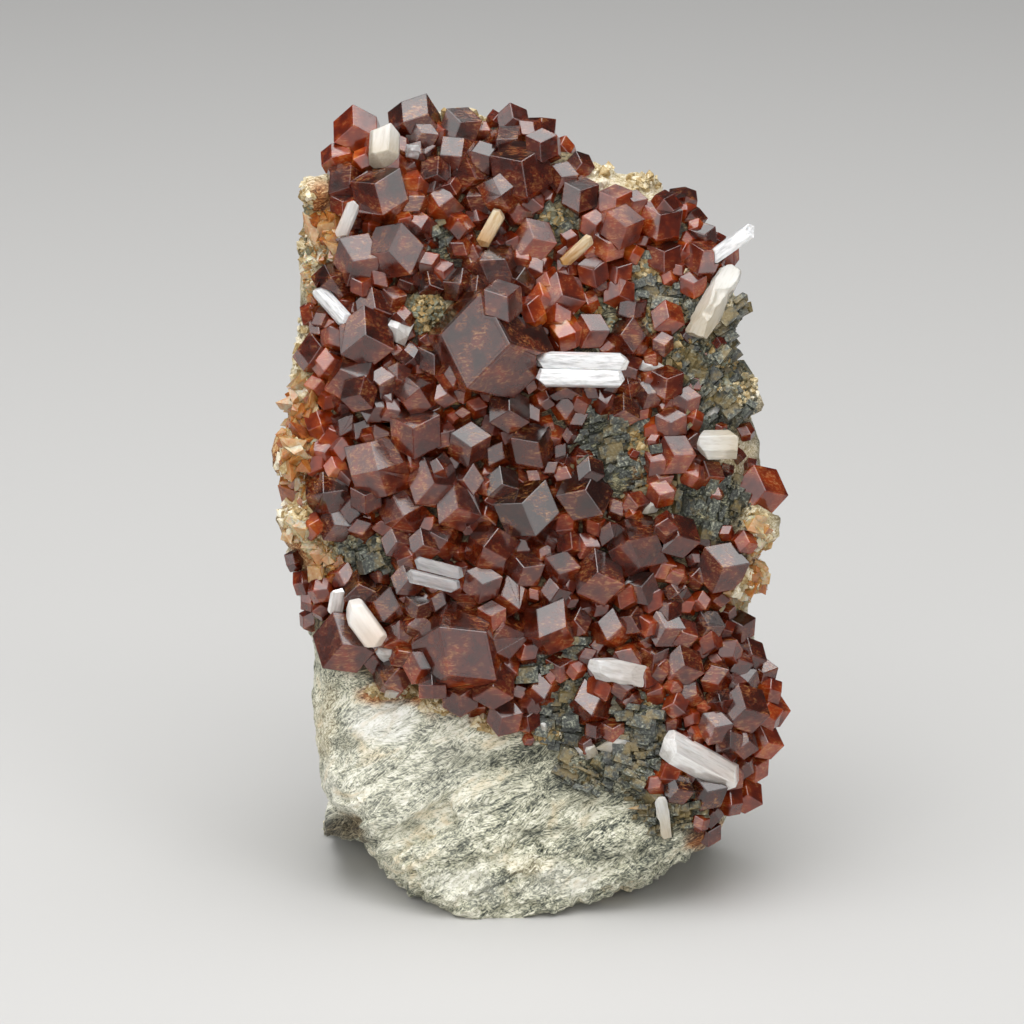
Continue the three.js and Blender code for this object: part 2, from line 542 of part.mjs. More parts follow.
// The turn that brings the chosen part of a garnet to look out of the face.
function garnetTurn(aim, rollDeg, leanRightDeg, leanUpDeg) {
  const looksOut = { corner: [1, 1, 1], tip: [0, 0, 1], face: [1, 1, 0] }[aim];
  const toRight = { corner: [-1, 1, 0], tip: [1, 1, 0], face: [1, -1, 0] }[aim];
  const out = new THREE.Vector3(...looksOut).normalize();
  const right = new THREE.Vector3(...toRight).normalize();
  const basis = new THREE.Matrix4().makeBasis(right, out.clone().cross(right), out).transpose();
  const [roll, leanRight, leanUp] = [rollDeg, leanRightDeg, leanUpDeg].map(THREE.MathUtils.degToRad);
  return new THREE.Matrix4()
    .makeRotationX(-leanUp)
    .multiply(new THREE.Matrix4().makeRotationY(leanRight))
    .multiply(new THREE.Matrix4().makeRotationZ(roll))
    .multiply(basis);
}

// The fourteen corners of a rhombic dodecahedron of the given width between opposite faces.
function dodecahedronCorners(width) {
  const unit = width / (2 * Math.SQRT2);
  const corners = [];
  for (const x of [-1, 1]) {
    for (const y of [-1, 1]) {
      for (const z of [-1, 1]) corners.push(new THREE.Vector3(x, y, z));
    }
    corners.push(new THREE.Vector3(2 * x, 0, 0));
    corners.push(new THREE.Vector3(0, 2 * x, 0));
    corners.push(new THREE.Vector3(0, 0, 2 * x));
  }
  return corners.map((corner) => corner.multiplyScalar(unit));
}

// How far out a convex crystal reaches over a place on the face, or null where it doesn't cover that place.
function reachOver(geometry, across, up) {
  const START = 60; // well in front of the face
  const ray = new THREE.Raycaster(new THREE.Vector3(across, up, START), new THREE.Vector3(0, 0, -1));
  const hits = ray.intersectObject(new THREE.Mesh(geometry));
  return hits.length ? hits[0].point.z : null;
}

// Garnets from the largest to the smallest, each seated on the slab or on the larger ones grown before it.
function garnetGeometries() {
  const random = randomSource(5);
  const grown = [];
  const bySize = [...GARNETS].sort((a, b) => b[2] - a[2]);
  for (const [across, up, showing, aim, roll, leanRight, leanUp] of bySize) {
    const width = showing * GROWN_IN;
    const stretch = [1, 1, 1].map(() => 1 + STRETCH * (random() - 0.5));
    const crystal = new ConvexGeometry(dodecahedronCorners(width))
      .scale(...stretch)
      .applyMatrix4(garnetTurn(aim, roll, leanRight, leanUp));
    const under = grown.map((other) => reachOver(other, across, up)).filter((level) => level !== null);
    const seat = Math.max(frontLevel(across, up), ...under);
    const offSeat = width * (under.length ? SEAT_ON_CRYSTAL : SEAT_ON_ROCK);
    grown.push(crystal.translate(across, up, seat + offSeat));
  }
  return grown;
}

// A diopside prism with chamfered long edges and a sloping tip, from its root to its tip.
function prismGeometry(root, tip, width, thickness, tipLength, grow) {
  const length = root.distanceTo(tip) + 2 * grow;
  const [halfWidth, halfThick] = [width / 2 + grow, (width * thickness) / 2 + grow];
  const [cutWidth, cutThick] = [halfWidth * (1 - PRISM_CHAMFER), halfThick * (1 - PRISM_CHAMFER)];
  const section = [
    [halfWidth, cutThick],
    [cutWidth, halfThick],
    [-cutWidth, halfThick],
    [-halfWidth, cutThick],
    [-halfWidth, -cutThick],
    [-cutWidth, -halfThick],
    [cutWidth, -halfThick],
    [halfWidth, -cutThick],
  ];
  const ring = (along, scale, shift) => {
    return section.map(([x, z]) => new THREE.Vector3(x * scale + shift, along, z * scale));
  };
  const corners = [
    ...ring(-grow, 1, 0),
    ...ring(length - grow - tipLength, 1, 0),
    ...ring(length - grow, PRISM_TIP_SHARE, PRISM_TIP_SHIFT * width),
  ];
  const turn = new THREE.Quaternion().setFromUnitVectors(
    new THREE.Vector3(0, 1, 0),
    tip.clone().sub(root).normalize(),
  );
  return new ConvexGeometry(corners).applyQuaternion(turn).translate(root.x, root.y, root.z);
}

// Every diopside prism as a function of how much it is grown, under its name.
function diopsidePrisms() {
  return PRISMS.map(([name, root, tip, width, thickness, tipLength, rootLift, tipLift]) => {
    const from = new THREE.Vector3(...root, frontLevel(...root) + rootLift);
    const to = new THREE.Vector3(...tip, frontLevel(...tip) + tipLift);
    return { name, grown: (grow) => solidOf(prismGeometry(from, to, width, thickness, tipLength, grow)) };
  });
}

// The largest body of a solid that a cut may have left in pieces.
function mainBody(solid) {
  return solid.decompose().sort((a, b) => b.volume() - a.volume())[0];
}

// Where a body lies on the face, in words.
function placeOnFace(body) {
  const { min, max } = body.boundingBox();
  const [across, up] = [(min[0] + max[0]) / 2, (min[1] + max[1]) / 2];
  const row = up > UPPER_FROM ? "upper" : up > MIDDLE_FROM ? "middle" : "lower";
  const column = across > RIGHT_FROM ? "right" : across > CENTRE_FROM ? "centre" : "left";
  return `${row}_${column}`;
}

// A name that isn't taken yet, numbered from the second on.
function freeName(name, taken) {
  let free = name;
  for (let number = 2; taken.has(free); number++) free = `${name}_${number}`;
  taken.add(free);
  return free;
}

const garnets = garnetGeometries();
const prisms = diopsidePrisms();
const rock = matrixSolid(GAP);

const specimen = new THREE.Group();
specimen.add(meshOf(mainBody(matrixSolid(0)), "matrix", SCHIST));

const crust = wasm.Manifold.union(garnets.map(solidOf));
const clearance = wasm.Manifold.union([rock, ...prisms.map((prism) => prism.grown(GAP))]);
const bodies = crust.subtract(clearance).asOriginal().simplify(SLIVER).decompose();
const kept = bodies.filter((body) => body.volume() > CRUMB).sort((a, b) => b.volume() - a.volume());
const names = new Set();
kept.forEach((body, i) => {
  const name = i ? freeName(`garnet_${placeOnFace(body)}`, names) : "garnet_crust";
  specimen.add(meshOf(body, name, GARNET));
});

for (const { name, grown } of prisms) {
  specimen.add(meshOf(mainBody(grown(0).subtract(rock)), name, DIOPSIDE));
}

// Lean the face back and set the specimen down with its base on the ground, centred over the origin.
specimen.rotation.x = Math.PI / 2 - lean;
const box = new THREE.Box3().setFromObject(specimen, true);
const middle = box.getCenter(new THREE.Vector3());
specimen.position.set(-middle.x, -middle.y, 0);

export default specimen;
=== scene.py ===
"""Looks of a garnet-in-matrix specimen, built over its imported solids.

Sizes in fields are millimetres. Meshes are metres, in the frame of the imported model. Places on the specimen
are given in its own face axes: across the crystal face, up it, and out of it towards the viewer.
"""

import itertools
import logging
import math
from collections.abc import Callable, Iterable
from dataclasses import dataclass, field
from enum import Enum
from functools import partial

import bmesh
import bpy
import numpy as np
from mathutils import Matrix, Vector
from mathutils.bvhtree import BVHTree

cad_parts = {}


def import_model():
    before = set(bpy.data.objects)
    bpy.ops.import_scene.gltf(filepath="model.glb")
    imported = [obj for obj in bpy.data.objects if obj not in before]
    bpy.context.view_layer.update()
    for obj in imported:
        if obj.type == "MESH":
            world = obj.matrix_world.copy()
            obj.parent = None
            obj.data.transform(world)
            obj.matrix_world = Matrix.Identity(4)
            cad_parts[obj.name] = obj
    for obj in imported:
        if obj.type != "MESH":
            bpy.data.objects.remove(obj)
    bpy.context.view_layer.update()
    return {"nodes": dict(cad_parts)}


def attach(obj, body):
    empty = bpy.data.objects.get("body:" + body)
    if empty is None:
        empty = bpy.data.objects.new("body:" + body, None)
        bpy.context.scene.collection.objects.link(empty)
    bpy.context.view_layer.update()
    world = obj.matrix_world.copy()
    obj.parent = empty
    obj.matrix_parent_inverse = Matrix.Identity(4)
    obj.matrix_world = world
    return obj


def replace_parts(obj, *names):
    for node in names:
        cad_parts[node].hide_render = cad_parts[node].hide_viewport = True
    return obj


LOG = logging.getLogger("specimen")
MM = 0.001
BODY = "root"

Socket = bpy.types.NodeSocket
AddNode = Callable[..., Socket]
Span = tuple[float, float]
Triple = tuple[float, float, float]
Stops = tuple[tuple[float, str], ...]


def srgb(code: str) -> tuple[float, float, float, float]:
    """Turns an sRGB hex colour into the linear colour that shaders use.

    Args:
        code: Six hex digits after a hash.

    Returns:
        Linear red, green, blue and an alpha of 1.
    """
    parts = [int(code[i : i + 2], 16) / 255 for i in (1, 3, 5)]
    linear = [c / 12.92 if c <= 0.04045 else ((c + 0.055) / 1.055) ** 2.4 for c in parts]
    return (linear[0], linear[1], linear[2], 1.0)


def per_mm(size: float) -> float:
    """Gives the texture scale at which one feature is `size` millimetres, on coordinates in metres."""
    return 1.0 / (size * MM)


def set_inputs(node: bpy.types.Node, settings: dict, links: dict) -> None:
    """Sets and links one shader node.

    Args:
        node: The node.
        settings: Values by property name, or by input name or number.
        links: Output sockets by the input name or number that each one feeds.
    """
    for key, value in settings.items():
        if isinstance(key, str) and hasattr(node, key):
            setattr(node, key, value)
        else:
            node.inputs[key].default_value = value
    for key, source in links.items():
        node.id_data.links.new(source, node.inputs[key])


def add_node(
    tree: bpy.types.NodeTree,
    kind: str,
    settings: dict | None = None,
    links: dict | None = None,
    stops: Stops = (),
    out: str | int = 0,
) -> Socket:
    """Adds one shader node.

    Args:
        tree: The node tree to add it to.
        kind: Blender's type name of the node, without its prefix.
        settings: Values by property name, or by input name or number.
        links: Output sockets by the input name or number that each one feeds.
        stops: Places and hex colours of a colour ramp.
        out: Name or number of the output to use.

    Returns:
        That output of the new node.
    """
    node = tree.nodes.new(f"ShaderNode{kind}")
    set_inputs(node, settings or {}, links or {})
    for i, (place, code) in enumerate(stops):
        elements = node.color_ramp.elements
        element = elements[i] if i < 2 else elements.new(place)
        element.position = place
        element.color = srgb(code)
    return node.outputs[out]


def new_material(name: str) -> tuple[bpy.types.Material, AddNode, bpy.types.Node]:
    """Starts a material that holds one surface shader.

    Args:
        name: The real material's name.

    Returns:
        The material, what adds a node to it, and its surface shader.
    """
    material = bpy.data.materials.new(name)
    material.use_nodes = True
    tree = material.node_tree
    return material, partial(add_node, tree), tree.nodes["Principled BSDF"]


def corner_rows(corners: bpy.types.bpy_prop_collection, name: str) -> np.ndarray:
    """Reads a vector at each corner of a mesh.

    Args:
        corners: The mesh's vertices or vertex normals.
        name: The field to read.

    Returns:
        One row per corner.
    """
    rows = np.zeros(len(corners) * 3)
    corners.foreach_get(name, rows)
    return rows.reshape(-1, 3)


def mesh_points(mesh: bpy.types.Mesh) -> np.ndarray:
    """Reads where each corner of a mesh is."""
    return corner_rows(mesh.vertices, "co")


def mesh_normals(mesh: bpy.types.Mesh) -> np.ndarray:
    """Reads the outward direction at each corner of a mesh."""
    return corner_rows(mesh.vertex_normals, "vector")


def finished_mesh(shape: bmesh.types.BMesh) -> bpy.types.Mesh:
    """Turns a worked shape into a mesh.

    Args:
        shape: The shape, which is freed.

    Returns:
        The mesh.
    """
    mesh = bpy.data.meshes.new("finished")
    shape.to_mesh(mesh)
    shape.free()
    return mesh


def even_mesh(solid: bpy.types.Mesh, voxel: float) -> bpy.types.Mesh:
    """Copies a closed mesh as one with small even faces.

    Args:
        solid: The mesh to copy.
        voxel: Side of the new faces.

    Returns:
        The fine mesh.
    """
    work = bpy.data.objects.new("work", solid.copy())
    bpy.context.scene.collection.objects.link(work)
    remesh = work.modifiers.new("even", "REMESH")
    remesh.mode = "VOXEL"
    remesh.voxel_size = voxel * MM
    graph = bpy.context.evaluated_depsgraph_get()
    mesh = bpy.data.meshes.new_from_object(work.evaluated_get(graph))
    bpy.data.objects.remove(work)
    return mesh


def set_attribute(mesh: bpy.types.Mesh, name: str, domain: str, values: np.ndarray) -> None:
    """Stores one number or vector per point or face of a mesh.

    Args:
        mesh: The mesh that gets the values.
        name: The attribute's name, which materials read.
        domain: POINT or FACE.
        values: One row per point or face.
    """
    vector = values.ndim == 2
    attribute = mesh.attributes.new(name, "FLOAT_VECTOR" if vector else "FLOAT", domain)
    attribute.data.foreach_set("vector" if vector else "value", values.astype(np.float32).ravel())


def smooth_step(low: float, high: float, values: np.ndarray) -> np.ndarray:
    """Rises smoothly from 0 at `low` to 1 at `high`."""
    share = np.clip((values - low) / (high - low), 0.0, 1.0)
    return share * share * (3.0 - 2.0 * share)


def add_piece(
    name: str, mesh: bpy.types.Mesh, material: bpy.types.Material
) -> bpy.types.Object:
    """Puts a finished mesh on the specimen.

    Args:
        name: The piece's name.
        mesh: Its mesh, in metres.
        material: Its material.

    Returns:
        The new object.
    """
    mesh.name = name
    mesh.materials.clear()
    mesh.materials.append(material)
    piece = bpy.data.objects.new(name, mesh)
    bpy.context.scene.collection.objects.link(piece)
    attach(piece, BODY)
    LOG.info("%s: %d faces", name, len(mesh.polygons))
    return piece


@dataclass(frozen=True)
class FaceFrame:
    """The specimen's own axes. The face leans back, and the origin lies under the specimen's middle."""

    lean_deg: float = 18.0
    shift_x: float = 0.497
    shift_y: float = -21.315

    @property
    def axes(self) -> np.ndarray:
        """Directions of across, up and out in the model's frame, one per column."""
        lean = math.radians(self.lean_deg)
        return np.array([
            [1.0, 0.0, 0.0],
            [0.0, math.sin(lean), -math.cos(lean)],
            [0.0, math.cos(lean), math.sin(lean)],
        ])

    @property
    def shift(self) -> np.ndarray:
        """Where the face's own origin lies in the model's frame."""
        return np.array([self.shift_x, self.shift_y, 0.0])

    def to_model(self, points: np.ndarray) -> np.ndarray:
        """Turns face places in millimetres into model places in metres."""
        return (points @ self.axes.T + self.shift) * MM

    def to_face(self, points: np.ndarray) -> np.ndarray:
        """Turns model places in metres into face places in millimetres."""
        return (points / MM - self.shift) @ self.axes


class FaceSurface:
    """What a straight look into the crystal face meets first."""

    far_out = 80.0

    def __init__(self, face: FaceFrame, objects: Iterable[bpy.types.Object]) -> None:
        """Gathers the objects' faces for looking up.

        Args:
            face: The specimen's axes.
            objects: The objects to look at.
        """
        corners: list[Vector] = []
        polygons: list[list[int]] = []
        for obj in objects:
            first = len(corners)
            corners.extend(Vector(p) for p in face.to_face(mesh_points(obj.data)))
            polygons.extend([first + i for i in p.vertices] for p in obj.data.polygons)
        self.tree = BVHTree.FromPolygons(corners, polygons)

    def level(self, across: float, up: float) -> float | None:
        """Gives how far out the surface lies at a place, or None beside it."""
        hit = self.tree.ray_cast(Vector((across, up, self.far_out)), Vector((0.0, 0.0, -1.0)))[0]
        return None if hit is None else hit.z


class RockNoise:
    """Smooth seeded unevenness, the same on every run."""

    lattice = 256
    layer_shift = 17.3

    def __init__(self, seed: int) -> None:
        """Draws the lattice that the noise is smoothed from.

        Args:
            seed: The number that the lattice is drawn from.
        """
        random = np.random.default_rng(seed)
        self.order = random.permutation(self.lattice)
        slopes = random.normal(size=(self.lattice, 3))
        self.slopes = slopes / np.linalg.norm(slopes, axis=1, keepdims=True)

    def at(self, points: np.ndarray) -> np.ndarray:
        """Gives the noise, about -0.7 to 0.7, at points one unit of which is one feature.

        Args:
            points: One row per point.

        Returns:
            One value per point.
        """
        cell = np.floor(points).astype(int)
        part = points - cell
        # This curve starts and ends level, so that no lattice cell shows.
        fade = part**3 * (part * (part * 6.0 - 15.0) + 10.0)
        total = np.zeros(len(points))
        last = self.lattice - 1
        for corner in itertools.product((0, 1), repeat=3):
            x, y, z = ((cell + corner) & last).T
            slope = self.slopes[self.order[(self.order[(self.order[x] + y) & last] + z) & last]]
            weight = np.where(corner, fade, 1.0 - fade).prod(axis=1)
            total += weight * ((part - corner) * slope).sum(axis=1)
        return total

    def layers(self, points: np.ndarray, size: float, count: int) -> np.ndarray:
        """Adds noise of halving size and strength.

        Args:
            points: One row per point, in millimetres.
            size: Feature size of the broadest layer.
            count: How many layers.

        Returns:
            One value per point.
        """
        return sum(
            self.at(points * (2.0**i / size) + self.layer_shift * i) / 2.0**i for i in range(count)
        )


@dataclass(frozen=True)
class NoiseLayer:
    """One kind of unevenness: its size, its number of layers, its height and its own place in the noise."""

    size: float
    count: int
    height: float
    apart: float = 0.0

    def at(self, noise: RockNoise, place: np.ndarray) -> np.ndarray:
        """Gives its height at each place."""
        return self.height * noise.layers(place + self.apart, self.size, self.count)


@dataclass(frozen=True)
class Patch:
    """An oval area of the face, with a soft rim."""

    across: float
    up: float
    half_across: float
    half_up: float
    strength: float = 1.0
    rim: Span = (0.6, 1.4)

    def inside(self, across: np.ndarray, up: np.ndarray) -> np.ndarray:
        """Gives the strength in the middle, half of it on the rim and 0 well outside."""
        reach = np.hypot((across - self.across) / self.half_across, (up - self.up) / self.half_up)
        return self.strength * (1.0 - smooth_step(*self.rim, reach))

    def spot(self, reach: float, angle: float) -> Span:
        """Gives the place in a direction, at a share of the way out to the rim."""
        across = self.across + reach * self.half_across * math.cos(angle)
        return across, self.up + reach * self.half_up * math.sin(angle)


class Zone(Enum):
    """What covers a part of the rock. The value is the attribute that its material reads."""

    BARE = "bare_schist"
    BLOOM = "white_bloom"
    GREEN = "chlorite_stain"
    CREAM = "cream_rind"
    RUST = "rust_stain"
    EARTH = "earthy_break"


# Areas of the face that each zone covers. The bare schist follows its own edge, given below.
PATCHES: dict[Zone, tuple[Patch, ...]] = {
    Zone.BLOOM: (
        Patch(-16.8, 21.6, 3.6, 2.4, 0.85),
        Patch(-22.4, 12.4, 1.6, 4.0, 0.4),
        Patch(-14.0, 16.0, 9.0, 8.0, 0.25),
        Patch(-8.0, 4.0, 4.0, 1.8, 0.4),
        Patch(3.0, 4.0, 5.0, 1.6, 0.4),
    ),
    Zone.GREEN: (
        Patch(8.6, 51.2, 4.4, 5.4),
        Patch(18.0, 45.6, 4.4, 3.2),
        Patch(20.0, 61.6, 3.8, 6.0),
        Patch(19.5, 55.8, 3.4, 2.4),
        Patch(-18.4, 40.2, 3.4, 2.4),
        Patch(2.5, 22.2, 3.8, 2.4),
        Patch(11.5, 21.5, 3.8, 3.0),
        Patch(9.0, 17.0, 5.4, 2.6),
        Patch(14.6, 12.6, 3.6, 2.4),
        Patch(2.4, 76.2, 2.8, 1.8),
        Patch(12.2, 69.6, 2.6, 2.4),
        Patch(-10.4, 73.8, 1.8, 2.4),
        Patch(16.0, 66.6, 2.2, 2.2),
        Patch(13.6, 66.4, 2.2, 3.0),
        Patch(16.8, 61.4, 2.6, 3.6),
        Patch(4.4, 30.0, 2.0, 1.8),
        Patch(-0.8, 27.4, 1.8, 2.2),
        Patch(4.0, 25.4, 1.8, 1.6),
        Patch(6.0, 16.4, 9.0, 3.6, 0.6),
        Patch(10.6, 66.8, 7.0, 7.0, 0.5),
        Patch(-26.0, 71.0, 1.4, 8.0, 0.8),
        Patch(-20.2, 19.6, 1.4, 1.0, 0.6),
        Patch(-13.6, 11.2, 1.2, 0.9, 0.6),
        Patch(-7.0, 18.0, 4.0, 1.2, 0.4),
        Patch(1.6, 9.6, 4.0, 0.8, 0.5),
        Patch(9.0, 7.4, 4.0, 0.7, 0.4),
    ),
    Zone.CREAM: (
        Patch(-25.2, 74.0, 2.4, 7.0),
        Patch(-26.2, 58.0, 1.8, 8.0),
        Patch(-26.4, 47.0, 2.4, 6.0),
        Patch(-24.4, 80.5, 2.6, 2.4),
        Patch(7.0, 81.2, 2.8, 2.0),
        Patch(11.6, 80.2, 2.8, 2.0),
        Patch(-8.0, 87.4, 2.6, 2.0),
        Patch(24.6, 41.4, 2.8, 4.6),
        Patch(22.4, 36.0, 2.4, 2.8),
        Patch(18.8, 66.4, 2.2, 3.6),
        Patch(22.4, 57.6, 2.2, 3.0),
        Patch(21.6, 50.6, 2.6, 2.0),
        Patch(-11.6, 66.4, 2.4, 2.0),
        Patch(8.4, 19.6, 1.8, 1.0),
        Patch(-23.0, 21.4, 1.4, 4.0, 0.5),
        Patch(-1.0, 6.4, 2.6, 0.9, 0.4),
    ),
    Zone.RUST: (
        Patch(-26.8, 51.0, 2.0, 6.0),
        Patch(-24.2, 42.4, 2.8, 4.0),
        Patch(-24.4, 77.0, 1.8, 3.0),
        Patch(24.8, 39.0, 1.8, 3.0),
        Patch(12.6, 47.8, 2.2, 2.4),
        Patch(-20.4, 45.0, 2.4, 1.6),
        Patch(-15.6, 24.8, 3.6, 1.2),
        Patch(19.0, 8.6, 2.4, 1.4),
        Patch(-10.0, 23.6, 3.0, 1.0),
        Patch(-4.6, 21.6, 2.0, 0.8),
    ),
    Zone.EARTH: (
        Patch(-21.4, 9.6, 2.6, 1.8),
    ),
}

# Upper edge of the bare schist: places across, and the height there.
BARE_EDGE_ACROSS = (-30.0, -24.0, -16.0, -10.0, -5.0, 0.0, 5.0, 10.0, 15.0, 19.0, 30.0)
BARE_EDGE_UP = (31.0, 29.0, 25.5, 24.0, 22.0, 20.0, 17.5, 14.0, 10.5, 7.5, 4.0)


def bare_edge(across: np.ndarray) -> np.ndarray:
    """Gives the height at which the bare schist ends and the crystals begin."""
    return np.interp(across, BARE_EDGE_ACROSS, BARE_EDGE_UP)


@dataclass(frozen=True)
class LightInside:
    """How light goes into a mineral: clear share, cloudy share, and how deep red, green and blue go."""

    clear: float
    cloudy: float
    reach: Triple
    depth: float

    def settings(self) -> dict[str, float | Triple]:
        """Gives the surface shader's settings for it."""
        return {
            "Transmission Weight": self.clear,
            "Subsurface Weight": self.cloudy,
            "Subsurface Radius": self.reach,
            "Subsurface Scale": self.depth * MM,
        }


@dataclass(frozen=True)
class GarnetFinish:
    """Grossular garnet: glassy growth faces over a clouded red-brown body with orange flecks.

    It grew in hot water from face to face, so each face is flat and mirror-like, light enters and comes back
    orange where the crystal is thin, and inclusions leave streaky flecks and clouds.
    """

    name: str = "grossular_garnet"
    deep: str = "#2f130b"
    body: str = "#661f0b"
    warm: str = "#ac3f0d"
    glow: str = "#de842c"
    fleck: str = "#d29a5c"
    ior: float = 1.74
    shine: float = 0.62
    polish: Span = (0.09, 0.19)
    inside: LightInside = LightInside(0.3, 0.45, (1.0, 0.32, 0.1), 1.2)
    fleck_long: float = 1.1
    fleck_wide: float = 0.3
    fleck_turn: Triple = (0.3, math.radians(35.0), 0.4)
    fleck_share: float = 0.75
    cloud_size: float = 2.6
    cloud_contrast: float = 1.3
    cloud_darken: float = 0.55
    tone_share: float = 0.9

    def make(self) -> bpy.types.Material:
        """Makes the material."""
        material, add, shader = new_material(self.name)
        place = add("TexCoord", out="Object")
        tone = add("Attribute", {"attribute_name": "tone"}, out="Fac")
        fine = (per_mm(self.fleck_long), per_mm(self.fleck_wide), per_mm(self.fleck_wide))
        slanted = add("Mapping", {"Rotation": self.fleck_turn, "Scale": fine}, {"Vector": place})
        streaky = {"Scale": 1.0, "Detail": 5.0, "Roughness": 0.72, "Distortion": 0.8}
        flecks = add("TexNoise", streaky, {"Vector": slanted})
        broad = {"Scale": per_mm(self.cloud_size), "Detail": 3.0, "Roughness": 0.55}
        clouds = add("TexNoise", broad, {"Vector": place})
        contrast = {"operation": "MULTIPLY_ADD", 1: self.cloud_contrast, 2: -self.cloud_darken}
        clouded = add("Math", contrast, {0: clouds})
        drive = add("Math", {"operation": "MULTIPLY_ADD", 1: self.tone_share}, {0: tone, 2: clouded})
        stops = ((0.0, self.deep), (0.35, self.body), (0.7, self.warm), (1.0, self.glow))
        body = add("ValToRGB", links={"Fac": drive}, stops=stops)
        light = {"From Min": 0.5, "From Max": 0.66, "To Max": self.fleck_share}
        flecked = add("MapRange", light, {"Value": flecks})
        dusty = add("MapRange", {"From Min": 0.46, "From Max": 0.62}, {"Value": clouds})
        share = add("Math", {"operation": "MULTIPLY"}, {0: flecked, 1: dusty})
        colour = add("Mix", {"data_type": "RGBA", 7: srgb(self.fleck)}, {0: share, 6: body}, out=2)
        finest, dullest = self.polish
        worn = {"From Min": 0.35, "From Max": 0.7, "To Min": finest, "To Max": dullest}
        gloss = add("MapRange", worn, {"Value": flecks})
        values = {"IOR": self.ior, "Specular IOR Level": self.shine, **self.inside.settings()}
        set_inputs(shader, values, {"Base Color": colour, "Roughness": gloss})
        return material


# Colours of the rock from dark to light: under the crust, and where each zone covers it.
CRUSTED: Stops = ((0.22, "#211c14"), (0.45, "#463d2c"), (0.62, "#6d6045"), (0.9, "#b3a27c"))
COATS: dict[Zone, Stops] = {
    Zone.BARE: ((0.1, "#2f342d"), (0.34, "#828577"), (0.52, "#c9c7ab"), (0.74, "#f8f5e4")),
    Zone.BLOOM: ((0.1, "#9fa095"), (0.34, "#d3d2c4"), (0.52, "#eeede1"), (0.76, "#fdfcf6")),
    Zone.GREEN: ((0.2, "#1d201a"), (0.44, "#44473a"), (0.62, "#777761"), (0.88, "#c4c19e")),
    Zone.CREAM: ((0.15, "#86744f"), (0.38, "#baa880"), (0.55, "#d6caa8"), (0.8, "#f2ecdc")),
    Zone.RUST: ((0.15, "#4e2208"), (0.4, "#935019"), (0.6, "#bd8044"), (0.85, "#e3c590")),
    Zone.EARTH: ((0.2, "#1f1a12"), (0.45, "#463c29"), (0.62, "#6f6247"), (0.88, "#a59878")),
}


